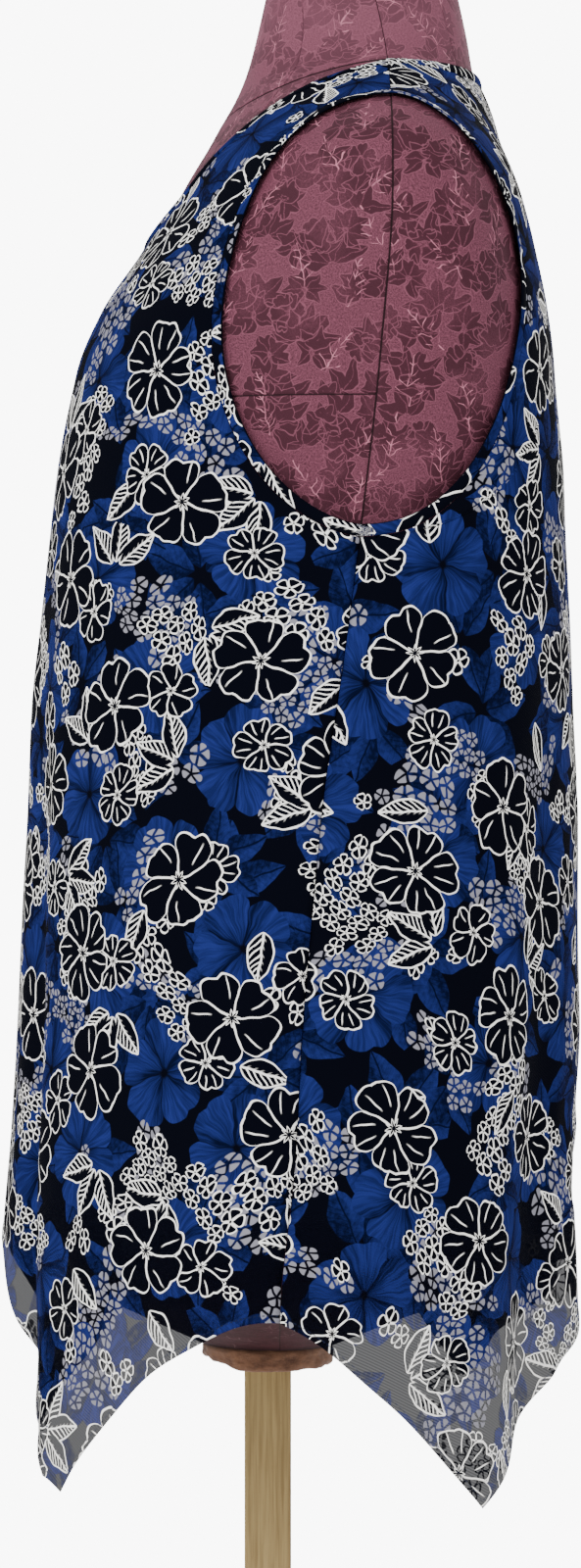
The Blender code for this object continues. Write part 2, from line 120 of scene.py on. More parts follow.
class Table:
    """Rows of sizes, read along a smooth curve that passes through them and doesn't overshoot.

    The first column is what the rows are read by, which is the height in most tables.
    """

    def __init__(self, columns, rows):
        self.columns = columns
        self.values = np.array(sorted(rows), float).T
        self.heights = self.values[0]
        self.slopes = [self.steady_slopes(column) for column in self.values]

    def steady_slopes(self, column):
        """The curve's slope at each row: level where the sizes turn back."""
        step = np.diff(self.heights)
        rise = np.diff(column) / step
        slopes = np.zeros(len(column))
        same_way = rise[1:] * rise[:-1] > 0
        before, after = rise[:-1][same_way], rise[1:][same_way]
        slopes[1:-1][same_way] = 2 * before * after / (before + after)
        slopes[0], slopes[-1] = rise[0], rise[-1]
        return slopes

    def at(self, name, height):
        k = self.columns.index(name)
        height = np.clip(height, self.heights[0], self.heights[-1])
        i = np.clip(np.searchsorted(self.heights, height) - 1, 0, len(self.heights) - 2)
        step = self.heights[i + 1] - self.heights[i]
        t = (height - self.heights[i]) / step
        low, high = self.values[k][i], self.values[k][i + 1]
        low_slope, high_slope = self.slopes[k][i] * step, self.slopes[k][i + 1] * step
        return (
            low * (1 + 2 * t) * (1 - t) ** 2
            + low_slope * t * (1 - t) ** 2
            + high * t * t * (3 - 2 * t)
            + high_slope * t * t * (t - 1)
        )


SEAM_LINE = Table(
    ("z", "y"),
    [
        (0.52, 0.006),
        (0.68, 0.008),
        (0.76, 0.016),
        (0.83, 0.020),
        (0.91, 0.027),
        (0.96, 0.032),
        (1.02, 0.041),
        (1.11, 0.053),
        (1.20, 0.063),
        (1.30, 0.070),
        (1.38, 0.070),
        (1.45, 0.058),
    ],
)

SECTION_COLUMNS = ("z", "front", "back", "half_width", "front_round", "back_round")
FORM = Table(
    SECTION_COLUMNS,
    [
        (0.6298, -0.041, 0.043, 0.042, 2.0, 2.0),
        (0.652, -0.083, 0.092, 0.110, 2.1, 2.1),
        (0.672, -0.114, 0.137, 0.170, 2.2, 2.2),
        (0.690, -0.121, 0.145, 0.184, 2.2, 2.2),
        (0.760, -0.125, 0.150, 0.191, 2.3, 2.3),
        (0.860, -0.118, 0.146, 0.180, 2.3, 2.3),
        (0.950, -0.100, 0.130, 0.150, 2.2, 2.2),
        (1.020, -0.101, 0.137, 0.153, 2.2, 2.3),
        (1.100, -0.109, 0.162, 0.170, 2.4, 2.4),
        (1.160, -0.1155, 0.1680, 0.179, 2.5, 2.5),
        (1.206, -0.1110, 0.1670, 0.184, 2.4, 2.5),
        (1.242, -0.0970, 0.1625, 0.187, 2.25, 2.6),
        (1.277, -0.0745, 0.155, 0.188, 2.0, 2.6),
        (1.300, -0.0615, 0.1495, 0.187, 1.85, 2.5),
        (1.323, -0.049, 0.1435, 0.181, 1.65, 2.2),
        (1.345, -0.036, 0.1375, 0.158, 1.5, 1.85),
        (1.358, -0.029, 0.1345, 0.134, 1.4, 1.6),
        (1.372, -0.021, 0.130, 0.107, 1.45, 1.6),
        (1.384, -0.0155, 0.1250, 0.083, 1.7, 1.8),
        (1.395, -0.0115, 0.1225, 0.0700, 2.0, 2.0),
        (1.410, -0.0075, 0.1200, 0.0630, 2.1, 2.1),
        (1.445, 0.0005, 0.1125, 0.0570, 2.1, 2.1),
    ],
)
HANGING = Table(
    SECTION_COLUMNS,
    [
        (0.52, -0.162, 0.184, 0.268, 1.95, 2.0),
        (0.60, -0.160, 0.184, 0.262, 2.0, 2.0),
        (0.70, -0.157, 0.183, 0.250, 2.0, 2.1),
        (0.76, -0.1525, 0.183, 0.241, 2.1, 2.1),
        (0.82, -0.149, 0.1865, 0.231, 2.1, 2.2),
        (0.90, -0.1455, 0.185, 0.218, 2.2, 2.2),
        (0.94, -0.1435, 0.185, 0.211, 2.2, 2.2),
        (1.01, -0.141, 0.182, 0.199, 2.3, 2.3),
        (1.06, -0.136, 0.180, 0.1915, 2.4, 2.4),
        (1.11, -0.1305, 0.1775, 0.1850, 2.5, 2.4),
        (1.15, -0.1255, 0.176, 0.1835, 2.6, 2.5),
        (1.206, -0.1175, 0.172, 0.187, 2.5, 2.5),
        (1.26, -0.089, 0.163, 0.190, 2.2, 2.5),
    ],
)
CLINGS_Z = (1.15, 1.22)

FRONT_NECKLINE = Table(
    ("from_centre", "z"),
    [
        (0, 1.289),
        (13, 1.291),
        (23, 1.298),
        (30, 1.308),
        (38, 1.3265),
        (48, 1.3455),
        (62, 1.366),
        (90, 1.384),
    ],
)
BACK_NECKLINE = Table(("from_centre", "z"), [(0, 1.3875), (45, 1.3868), (90, 1.384)])

# Each row is a high or a low place of one panel's hem: its angle from the left side seam, its height, how
# many columns of the solid lead up to it from the place before, and how straight the hem runs there.
FRONT_HEM = [
    (0, 0.677, 0, 0),
    (33, 0.575, 7, 0),
    (37.5, 0.581, 1, 0),
    (90, 0.702, 12, 0),
    (133, 0.553, 12, 0),
    (180, 0.680, 8, 0.3),
]
BACK_HEM = [
    (0, 0.677, 0, 0),
    (27.5, 0.570, 7, 0.6),
    (90, 0.678, 13, 0),
    (150, 0.575, 13, 0),
    (180, 0.680, 7, 0.3),
]

# A fold stands out by its depth at the hem, or in where that is negative, and fades to nothing at its top.
# Angles and widths are in degrees.
FOLD_COLUMNS = ("top_angle", "hem_angle", "top_z", "depth", "width")
FOLDS = [
    (-63, -39, 1.17, 0.004, 6.0),
    (-71, -50, 1.16, -0.020, 6.5),
    (-84, -80, 1.08, 0.003, 8.0),
    (-22, -22, 0.92, -0.006, 8.0),
    (-8, -6, 1.00, 0.004, 6.0),
    (-117, -133, 1.17, 0.012, 6.5),
    (-109, -119, 1.13, -0.014, 6.0),
    (-99, -102, 1.02, 0.006, 7.0),
    (-160, -158, 0.94, -0.006, 8.0),
    (36, 29, 1.16, 0.006, 6.0),
    (46, 42, 1.14, -0.010, 6.0),
    (58, 61, 0.98, 0.009, 7.0),
    (74, 76, 0.90, -0.008, 7.0),
    (104, 106, 0.92, -0.009, 7.0),
    (120, 121, 1.00, 0.010, 7.0),
    (135, 136, 1.12, -0.010, 6.0),
    (146, 149, 1.16, 0.010, 6.0),
]
# Smaller creases between them, and the flutter of the light hem.
SOFT_FOLDS = [
    (-34, -30, 1.05, 0.0022, 2.6),
    (-44, -43, 0.98, -0.0020, 2.4),
    (-56, -46, 1.12, 0.0020, 2.2),
    (-12, -14, 0.84, 0.0024, 3.0),
    (-2, -1, 0.98, -0.0018, 2.4),
    (10, 9, 1.02, 0.0024, 3.0),
    (19, 17, 0.90, -0.0026, 3.0),
    (52, 50, 1.06, 0.0026, 2.6),
    (66, 69, 0.86, 0.0024, 3.0),
    (84, 88, 0.96, 0.0022, 4.0),
    (96, 97, 0.84, -0.0020, 3.0),
    (112, 114, 0.96, 0.0022, 3.0),
    (128, 129, 0.90, -0.0024, 3.0),
    (157, 160, 1.04, 0.0026, 3.0),
    (168, 169, 0.90, -0.0024, 3.0),
    (-168, -170, 0.96, 0.0022, 3.0),
    (-148, -146, 1.00, -0.0024, 3.0),
    (-126, -141, 1.10, 0.0022, 2.6),
    (-92, -91, 0.90, -0.0018, 3.6),
]
HEM_Z = 0.60
FOLD_GROWTH = 1.4  # the power by which a fold grows on its way down

# Short creases across the cloth: the angle and height of each one's middle, its slope in metres to a
# degree, its half length in degrees, its half width in metres, and how far it stands out.
CROSS_COLUMNS = ("angle", "z", "slope", "half_length", "half_width", "depth")
CROSS_CREASES = [
    (90, 0.729, 0.0000, 26, 0.0130, -0.0050),
    (90, 0.762, 0.0001, 20, 0.0090, 0.0010),
    (24, 1.085, 0.0011, 12, 0.0040, 0.0016),
    (28, 1.062, 0.0012, 14, 0.0045, -0.0014),
    (-24, 1.092, -0.0010, 12, 0.0040, 0.0016),
    (-30, 1.064, -0.0012, 14, 0.0050, -0.0015),
    (156, 1.085, -0.0011, 12, 0.0040, 0.0016),
    (-156, 1.090, 0.0010, 12, 0.0040, 0.0016),
    (-58, 1.120, -0.0008, 12, 0.0060, 0.0012),
    (-122, 1.115, 0.0008, 12, 0.0060, 0.0012),
    (62, 0.955, 0.0004, 14, 0.0080, -0.0013),
    (118, 0.985, -0.0004, 14, 0.0080, -0.0013),
]


def smoothstep(low, high, value):
    """0 at low and 1 at high, with a soft start and end, and the reverse where low is the larger."""
    t = np.clip((value - low) / (high - low), 0, 1)
    return t * t * (3 - 2 * t)


HALVINGS = 24


def section_radius(table, angle, z):
    """How far a section reaches from the seam line at an angle, found by halving."""
    across, along = np.abs(np.cos(angle)), np.abs(np.sin(angle))
    is_back = np.sin(angle) > 0
    seam = SEAM_LINE.at("y", z)
    depth = np.where(is_back, table.at("back", z) - seam, seam - table.at("front", z))
    roundness = np.where(is_back, table.at("back_round", z), table.at("front_round", z))
    half_width = table.at("half_width", z)
    flatness = np.maximum(roundness, ROUNDNESS_ACROSS)
    low, high = np.zeros_like(depth), half_width + depth
    for _ in range(HALVINGS):
        middle = (low + high) / 2
        outside = (middle * across / half_width) ** flatness + (middle * along / depth) ** roundness > 1
        low, high = np.where(outside, low, middle), np.where(outside, middle, high)
    return (low + high) / 2


def degrees_apart(angle, degrees):
    """How far angles lie from a place given in degrees, the shorter way round."""
    return (np.degrees(angle) - degrees + 180) % 360 - 180


def form_radius(angle, z):
    """The form's own surface."""
    return section_radius(FORM, angle, z)


def fold_depth(folds, angle, z):
    """How far folds move the cloth in or out."""
    total = np.zeros_like(angle)
    for fold in folds:
        row = dict(zip(FOLD_COLUMNS, fold))
        fall = np.clip((row["top_z"] - z) / (row["top_z"] - HEM_Z), 0, 1.1)
        middle = row["top_angle"] + (row["hem_angle"] - row["top_angle"]) * np.clip(fall, 0, 1)
        away = degrees_apart(angle, middle) / row["width"]
        total = total + row["depth"] * fall**FOLD_GROWTH * np.exp(-(away**2))
    return total


def cross_depth(angle, z):
    """How far the short creases move the cloth in or out."""
    total = np.zeros_like(angle)
    for crease in CROSS_CREASES:
        row = dict(zip(CROSS_COLUMNS, crease))
        away = degrees_apart(angle, row["angle"])
        over = z - row["z"] - row["slope"] * away
        fade = np.exp(-((away / row["half_length"]) ** 2) - (over / row["half_width"]) ** 2)
        total = total + row["depth"] * fade
    return total


def raised(radius, angle, z, distance):
    """The radius of a surface that lies a distance outside another, measured square to it."""
    turn, lift = 0.01, 0.001
    around = (radius(angle + turn, z) - radius(angle - turn, z)) / (2 * turn)
    upward = (radius(angle, z + lift) - radius(angle, z - lift)) / (2 * lift)
    here = radius(angle, z)
    return here + distance * np.sqrt(1 + upward**2 + (around / here) ** 2)


def cloth_radius(angle, z):
    """The outer face of the cloth, without its smaller creases."""
    clearance = SHOULDER_CLEARANCE + (CLEARANCE - SHOULDER_CLEARANCE) * smoothstep(*SHOULDER_Z, z)
    lying = raised(form_radius, angle, z, clearance + WALL)
    hanging = section_radius(HANGING, angle, z) + fold_depth(FOLDS, angle, z)
    clings = smoothstep(*CLINGS_Z, z)
    return np.maximum(hanging * (1 - clings) + lying * clings, lying)


def surface(reach, angle, z):
    """Points at a distance from the seam line, one row of x, y, z each."""
    return np.stack([reach * np.cos(angle), SEAM_LINE.at("y", z) + reach * np.sin(angle), z], axis=-1)


def cloth_surface(angle, z):
    """Points on the outer face of the cloth."""
    return surface(cloth_radius(angle, z), angle, z)


def outward(angle, lift=0.0):
    """Directions away from the seam line, which can lean upwards."""
    return np.stack([np.cos(angle), np.sin(angle), np.full_like(angle, lift)], axis=-1)


def unit(vectors):
    return vectors / np.linalg.norm(vectors, axis=-1, keepdims=True)


def distance_along(points, axis):
    """How far each point of a grid lies from the first one of its row or column."""
    steps = np.linalg.norm(np.diff(points, axis=axis), axis=-1)
    start = np.zeros_like(steps.take([0], axis))
    return np.concatenate([start, np.cumsum(steps, axis=axis)], axis=axis)


def inset_edge(angle, z, width, hole_middle):
    """A hole's edge moved into the cloth by a width, away from the middle of the hole."""
    points = cloth_surface(angle, z)
    step = 0.0005
    around = cloth_surface(angle + step, z) - cloth_surface(angle - step, z)
    upward = cloth_surface(angle, z + step) - cloth_surface(angle, z - step)
    inward = np.cross(unit(np.cross(around, upward)), unit(np.gradient(points, axis=0)))
    inward *= np.sign((inward * (points - hole_middle)).sum(axis=1))[:, None]
    moved = points + inward * width
    moved_angle = np.arctan2(moved[:, 1] - SEAM_LINE.at("y", moved[:, 2]), moved[:, 0])
    return moved_angle, moved[:, 2]


STRAP_CLOSER = 0.035  # how much closer a strap's rows lie in its middle


def strap_steps():
    """The rows up a strap, from 0 at the underarm to 1 at the shoulder seam, closer in the middle."""
    even = np.linspace(0, 1, STRAP_ROWS + 1)
    return even + STRAP_CLOSER * np.sin(2 * math.pi * even)


def armhole_edge(half):
    """The left armhole's edge on the front or back, from underarm to shoulder, as angles and heights."""
    turn = math.pi * (1 - strap_steps())
    middle, reach = (STRAP_END_Z + UNDERARM_Z) / 2, (STRAP_END_Z - UNDERARM_Z) / 2
    z = middle + reach * np.cos(turn)
    lower, upper = ARMHOLE_FULLNESS[half]
    pinch = np.where(z < middle, lower, upper)
    aside = (ARMHOLE_FRONT if half < 0 else ARMHOLE_BACK) * np.sin(turn).clip(0) ** pinch
    seam = SEAM_LINE.at("y", z)
    depth = np.where(half > 0, FORM.at("back", z) - seam, seam - FORM.at("front", z))
    roundness = FORM.at("back_round" if half > 0 else "front_round", z)
    flatness = np.maximum(roundness, ROUNDNESS_ACROSS)
    out = FORM.at("half_width", z) * (1 - (aside / depth) ** roundness) ** (1 / flatness)
    return half * np.arctan2(aside, out), z


def neck_edge(half):
    """The left half of the neckline on the front or back, from the centre to the shoulder."""
    table = FRONT_NECKLINE if half < 0 else BACK_NECKLINE
    from_centre = 90 * strap_steps()
    return half * np.radians(90 - from_centre), table.at("z", from_centre)


def edges(half, width):
    """The left armhole's and neckline's edges, moved into the cloth by a width.

    Their ends are then put back on the seam line, at the slope of the shoulder, and on the centre line.
    """
    armhole, neck = armhole_edge(half), neck_edge(half)
    if not width:
        return armhole, neck
    inner_armhole = inset_edge(*armhole, width, ARMHOLE_MIDDLE)
    inner_neck = inset_edge(*neck, width, NECK_MIDDLE)
    for edge, outline, rise in ((inner_armhole, armhole, width), (inner_neck, neck, -width)):
        edge[0][-1], edge[1][-1] = 0, outline[1][-1] + rise * SHOULDER_SLOPE
    inner_armhole[0][0], inner_armhole[1][0] = 0, UNDERARM_Z - width
    inner_neck[0][0] = half * math.pi / 2
    return inner_armhole, inner_neck


def column_angles(hem):
    """The panel's columns in degrees, with one at each high and low place of its hem."""
    angles = [hem[0][0]]
    for (start, _, _, _), (end, _, count, _) in zip(hem, hem[1:]):
        count *= COLUMNS_FINER
        angles.extend(start + (end - start) * (k + 1) / count for k in range(count))
    return np.array(angles, float)


def hem_height(hem, degrees):
    """The hem falls to each point, is level where it is high, and waves a little."""
    heights = np.zeros_like(degrees)
    for (start, start_z, _, _), (end, end_z, _, straight) in zip(hem, hem[1:]):
        here = (degrees >= start) & (degrees <= end)
        t = (degrees[here] - start) / (end - start)
        from_low = t if end_z > start_z else 1 - t
        risen = straight * from_low + (1 - straight) * np.sin(from_low * math.pi / 2)
        heights[here] = min(start_z, end_z) + abs(end_z - start_z) * risen
    return heights + HEM_WAVE * np.sin(np.radians(degrees * 23)) * np.sin(np.radians(degrees * 7 + 40))


def chest_height(neck_z, underarm_z, degrees):
    """The row from underarm to underarm that the straps rise from."""
    swing = np.sin(np.radians(degrees))
    return underarm_z + (neck_z - underarm_z) * swing**2 - CHEST_DIP * np.sin(np.radians(2 * degrees)) ** 2


def strap_grid(degrees, chest, armhole, neck):
    """A strap's rows of angles and heights from its armhole to its neckline, from the chest row up."""
    share = degrees / 90
    bend = chest - (armhole[1][0] + (neck[1][0] - armhole[1][0]) * share)
    fade = (1 - np.linspace(0, 1, STRAP_ROWS + 1))[:, None] ** 2
    angle = armhole[0][:, None] * (1 - share) + neck[0][:, None] * share
    z = armhole[1][:, None] * (1 - share) + neck[1][:, None] * share + bend * fade
    return angle, z


# ---------------------------------------------------------------- meshes


ARC_COLUMNS, ARC_ROWS, ARC_Z = 121, 44, (0.54, 1.40)


def arc_table(half):
    """How far round the cloth each place lies from the panel's centre line, at one height."""
    degrees = np.linspace(0, 180, ARC_COLUMNS)
    heights = np.linspace(*ARC_Z, ARC_ROWS)
    angle, z = np.meshgrid(half * np.radians(degrees), heights)
    along = distance_along(cloth_surface(angle, z), axis=1)
    return degrees, heights, along - along[:, [len(degrees) // 2]]


def read_arc(arc, degrees, z):
    """Reads an arc table between its rows and columns."""
    angles, heights, along = arc
    i = np.clip((degrees / (angles[1] - angles[0])).astype(int), 0, len(angles) - 2)
    j = np.clip(((z - heights[0]) / (heights[1] - heights[0])).astype(int), 0, len(heights) - 2)
    s = (degrees - angles[i]) / (angles[1] - angles[0])
    t = (z - heights[j]) / (heights[1] - heights[0])
    low = along[j, i] * (1 - s) + along[j, i + 1] * s
    high = along[j + 1, i] * (1 - s) + along[j + 1, i + 1] * s
    return low * (1 - t) + high * t


def softened(angle, z, points):
    """Adds the slight unevenness of light cloth to a grid of points, less where it lies on the form."""
    loose = 0.25 + 0.75 * smoothstep(1.20, 0.95, z)
    spots = points.reshape(-1, 3) * UNEVEN_WAVES
    wave = np.array([noise.noise(Vector(spot)) for spot in spots]).reshape(angle.shape)
    return points + outward(angle) * (UNEVENNESS * loose * wave)[..., None]


def creased(angle, z, half):
    """The outer face of the cloth with its creases, pulled in a little at the seams."""
    reach = cloth_radius(angle, z)
    small = fold_depth(SOFT_FOLDS, angle, z) + cross_depth(angle, z)
    from_side = reach * np.abs(np.arcsin(np.clip(np.abs(np.sin(angle)), 0, 1)))
    pulled = -SEAM_PULL * np.exp(-((from_side / SEAM_PULL_WIDTH) ** 2))
    pucker = PUCKER * np.exp(-((from_side / PUCKER_WIDTH) ** 2)) * np.sin(z * PUCKER_WAVES + half)
    lying = raised(form_radius, angle, z, SHOULDER_CLEARANCE + WALL - 0.0002)
    return softened(angle, z, surface(np.maximum(reach + small + pulled + pucker, lying), angle, z))


def lay_grid(bm, places, points, *maps):
    """Adds a grid of faces through rows of points, and notes each point's places in the flat maps."""
    rows, columns = points.shape[:2]
    made = bmesh.ops.create_grid(bm, x_segments=columns - 1, y_segments=rows - 1, size=0.5)
    for vert in made["verts"]:
        i = round((vert.co.x + 0.5) * (columns - 1))
        j = round((vert.co.y + 0.5) * (rows - 1))
        vert.co = points[j, i]
        places[vert] = [each[j, i] for each in maps]


def add_object(name, data):
    made = bpy.data.objects.new(name, data)
    bpy.context.scene.collection.objects.link(made)
    return made


def finish_mesh(name, bm, material, places=None, inner_point=None):
    """Makes the piece, with its maps and smooth shading, and its faces turned away from a point inside."""
    if inner_point is not None:
        face = max(bm.faces, key=lambda f: f.calc_area())
        if face.normal.dot(face.calc_center_median() - Vector(inner_point)) < 0:
            bmesh.ops.reverse_faces(bm, faces=bm.faces)
    if places:
        layers = [bm.loops.layers.uv.new(title) for title in ("flat", "edge")]
        for face in bm.faces:
            for corner in face.loops:
                for layer, place in zip(layers, places.get(corner.vert, [(0, 0)] * 2)):
                    corner[layer].uv = place
    mesh = bpy.data.meshes.new(name)
    bm.to_mesh(mesh)
    bm.free()
    mesh.shade_smooth()
    mesh.materials.append(material)
    piece = add_object(name, mesh)
    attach(piece, "root")
    return piece


def patches(mesh):
    """The patches of a mesh between its seams, each as an array of its faces' corners."""
    bm = bmesh.new()
    bm.from_mesh(mesh)
    starts = [face.loop_start for face in mesh.polygons]
    left, found = set(bm.faces), []
    while left:
        waiting, patch = [left.pop()], []
        while waiting:
            face = waiting.pop()
            patch.append(starts[face.index] + np.arange(len(face.verts)))
            around = {near for edge in face.edges if not edge.seam for near in edge.link_faces} & left
            left -= around
            waiting.extend(around)
        found.append(patch)
    bm.free()
    return found


def unroll(piece):
    """Lays each patch of a piece's cloth out flat, at its real size and turned as it was measured."""
    mesh = piece.data
    spots = np.empty(2 * len(mesh.loops), np.float32)
    mesh.uv_layers["flat"].uv.foreach_get("vector", spots)
    measured = spots[::2] + 1j * spots[1::2]
    bpy.context.view_layer.objects.active = piece
    bpy.ops.object.mode_set(mode="EDIT")
    bpy.ops.mesh.select_all(action="SELECT")
    bpy.ops.uv.unwrap(method="CONFORMAL")
    bpy.ops.object.mode_set(mode="OBJECT")
    flat = mesh.uv_layers["flat"].uv
    flat.foreach_get("vector", spots)
    laid = spots[::2] + 1j * spots[1::2]
    ends = np.array([loop.vertex_index for loop in mesh.loops])
    places = np.array([vert.co for vert in mesh.vertices])[ends]
    for patch in patches(mesh):
        corners = np.concatenate(patch)
        following = np.concatenate([np.roll(face, -1) for face in patch])
        real = np.linalg.norm(places[following] - places[corners], axis=1).sum()
        scale = real / abs(laid[following] - laid[corners]).sum()
        here, middle = laid[corners] - laid[corners].mean(), measured[corners].mean()
        turn = np.vdot(here, measured[corners] - middle)
        laid[corners] = here * turn / abs(turn) * scale + middle
    spots[::2], spots[1::2] = laid.real, laid.imag
    flat.foreach_set("vector", spots)


def thicken(piece, thickness):
    """Gives a sheet its thickness, inwards from the face it was laid on."""
    wall = piece.modifiers.new("thickness", "SOLIDIFY")
    wall.thickness = thickness
    wall.offset = -1
    return piece


def part_seam(points, angle, half):
    """Leaves half of the seam's gap at the points on the side and shoulder seams."""
    points[..., 1] += (np.abs(np.sin(angle)) < 1e-6) * half * SEAM_GAP / 2


def make_panel(name, half, flat_start, lined, sheer):
    """The front or the back of the tunic: one cut piece from its hem to the shoulder seams."""
    hem = FRONT_HEM if half < 0 else BACK_HEM
    degrees = column_angles(hem)
    armhole, neck = edges(half, BINDING_WIDTH)
    chest = chest_height(neck[1][0], armhole[1][0], degrees)
    lowest = hem_height(hem, degrees)
    shares = np.linspace(ABOVE_HEM, 1, BODY_ROWS - 3)[:, None]
    z = np.concatenate([lowest + np.array(HEM_ROWS)[:, None], lowest + (chest - lowest) * shares])
    angle = np.broadcast_to(half * np.radians(degrees), z.shape)
    arc = arc_table(half)
    bm, places = bmesh.new(), {}
    body = creased(angle, z, half)
    turning = HEM_TURNING * smoothstep(NARROW_HEM, NARROW_HEM - HEM_EASE, z - lowest)
    body += turning[..., None] * outward(angle)
    down = distance_along(body[::-1], axis=0)[::-1]
    flat = np.stack([read_arc(arc, np.broadcast_to(degrees, z.shape), z), chest - down], axis=-1)
    part_seam(body, angle, half)
    lay_grid(bm, places, body, flat + flat_start, np.stack([flat[..., 0], z - lowest], axis=-1))
    centre = int(np.argmin(np.abs(degrees - 90)))
    left, right = slice(0, centre + 1), slice(len(degrees) - 1, centre - 1, -1)
    for is_left, columns in ((True, left), (False, right)):
        own = degrees[columns] if is_left else 180 - degrees[columns]
        angle, z = strap_grid(own, chest[columns], armhole, neck)
        from_left = np.abs(np.degrees(angle))
        if not is_left:
            from_left, angle = 180 - from_left, half * math.pi - angle
        strap = creased(angle, z, half)
        up = distance_along(strap, axis=0)
        flat = np.stack([read_arc(arc, from_left, z), chest[columns] + up], axis=-1)
        part_seam(strap, angle, half)
        edge = np.stack([flat[..., 0], np.full_like(up, FAR_FROM_HEM)], axis=-1)
        lay_grid(bm, places, strap, flat + flat_start, edge)
    merge_seam(bm)
    piece = finish_mesh(name, bm, lined, places, BODY_MIDDLE)
    unroll(piece)
    piece.data.materials.append(sheer)
    for face in piece.data.polygons:
        face.material_index = int(face.center.z < SHEER_Z)
    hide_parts(name.replace("_cloth", "_panel"))
    return thicken(piece, CLOTH_THICKNESS)


def cut_size(piece):
    """The cloth's area, and the width and length of the rectangle that it's cut from."""
    layer = piece.data.uv_layers["flat"].data
    spots = np.empty(2 * len(layer))
    layer.foreach_get("uv", spots)
    spots = spots.reshape(-1, 2)
    area = sum(face.area for face in piece.data.polygons)
    return area, np.ptp(spots, axis=0)


def merge_seam(bm):
    """Joins the grids of one cut piece where their points meet."""
    rims = [vert for vert in bm.verts if vert.is_boundary]
    found = bmesh.ops.find_doubles(bm, verts=rims, dist=MERGE_DISTANCE)
    bmesh.ops.weld_verts(bm, targetmap=found["targetmap"])
    bmesh.ops.recalc_face_normals(bm, faces=bm.faces)


# The binding's section: how far each point lies in from the garment's edge, as a share of the width, and
# how far it stands out from the cloth. The last two points turn under the edge.
BINDING_SECTION = [
    (1.00, -0.0003),
    (0.96, 0.0002),
    (0.86, 0.0001),
    (0.78, 0.0006),
    (0.60, 0.0009),
    (0.40, 0.0010),
    (0.20, 0.0009),
    (0.07, 0.0006),
    (0.00, 0.0001),
    (0.00, -0.0006),
    (0.14, -0.0011),
]
BINDING_RISE = 0.3  # how far its way out leans upwards, for 1 outwards


def mirrored(edge):
    """The same edge on the wearer's right."""
    return math.pi - edge[0], edge[1]


def backwards(edge):
    """The same edge from its other end."""
    return edge[0][::-1], edge[1][::-1]


def loop(*stretches):
    """Stretches of an edge joined into one round, which ends where it starts."""
    parts = [tuple(values[:-1] for values in stretch) for stretch in stretches]
    parts.append(tuple(values[:1] for values in stretches[0]))
    return tuple(np.concatenate([part[k] for part in parts]) for k in (0, 1))


def make_binding(name, outline, inset, flat_start, inner_point, material):
    """A strip of the same cloth folded over an edge, all round it."""
    outline_points, inset_points = cloth_surface(*outline), cloth_surface(*inset)
    out = unit(outward(outline[0], BINDING_RISE))
    shares, proud = (np.array(column)[:, None] for column in zip(*BINDING_SECTION))
    blend = shares[..., None]
    points = outline_points * (1 - blend) + inset_points * blend + out * proud[..., None]
    along = distance_along(outline_points, axis=0)
    flat = np.stack(np.broadcast_arrays(along, shares * BINDING_WIDTH), axis=-1)
    bm, places = bmesh.new(), {}
    lay_grid(bm, places, points, flat + flat_start, flat)
    merge_seam(bm)
    piece = finish_mesh(name, bm, material, places, inner_point)
    return thicken(piece, BINDING_THICKNESS)


def make_bindings(material):
    """One binding round each armhole and one round the neck."""
    outline = {half: edges(half, 0) for half in (-1, 1)}
    inner = {half: edges(half, BINDING_WIDTH - SEAM_GAP) for half in (-1, 1)}
    arm, neck = 0, 1
    left = [loop(e[-1][arm], backwards(e[1][arm])) for e in (outline, inner)]
    right = [mirrored(edge) for edge in left]
    rounds = [
        loop(e[-1][neck], backwards(e[1][neck]), mirrored(e[1][neck]), backwards(mirrored(e[-1][neck])))
        for e in (outline, inner)
    ]
    # For each solid: the edge and its inset, where the print starts on it, and a point inside the form.
    pieces = {
        "armhole_binding_left": (left, (3.1, 0.2), (0.12, 0.06, 1.22)),
        "armhole_binding_right": (right, (4.3, 0.6), (-0.12, 0.06, 1.22)),
        "neck_binding": (rounds, (5.2, 0.9), (0, 0.05, 1.25)),
    }
    made = []
    for node, (pair, flat_start, inner_point) in pieces.items():
        piece = make_binding(node.replace("binding", "edge"), *pair, flat_start, inner_point, material)
        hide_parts(node)
        made.append(piece)
    return made


# The dress form's seams that run up and down, as degrees from the left side, and the columns beside each.
FORM_SEAMS = (0, 42, 90, 138, 180, 222, 270, 318)
BESIDE_SEAM = (0.35, 0.9, 1.8)
CHEST_SEAM_Z = 1.180
NECK_SEAM_LEVEL = 1.385  # the row of the form that is bent to the neck seam, which drops towards the front
NECK_SEAM_Z = 1.3845
NECK_SEAM_DROP = {"front": 0.0235, "back": 0.004}
CAP_SHARE = 0.985  # the flat ends of the form start this far in
FLAT_STEP = 0.31  # how far apart the panels lie in the flat map

# How strongly the seams show. One of strength 1 sinks by SEAM_DEPTH, and none deeper than a side seam.
SIDE_SEAM, PANEL_SEAM, NECK_SEAM = 1.2, 0.8, 1.7
SEAM_DEPTH = 0.0009


def form_columns(start, end):
    """Angles from one seam of the form to the next, closer beside the seams."""
    near, further, clear = BESIDE_SEAM
    count = round((end - start) * FORM_COLUMNS / 360)
    inner = np.linspace(start + clear, end - clear, count)
    first, last = [start, start + near, start + further], [end - further, end - near, end]
    return np.radians(np.concatenate([first, inner, last]))


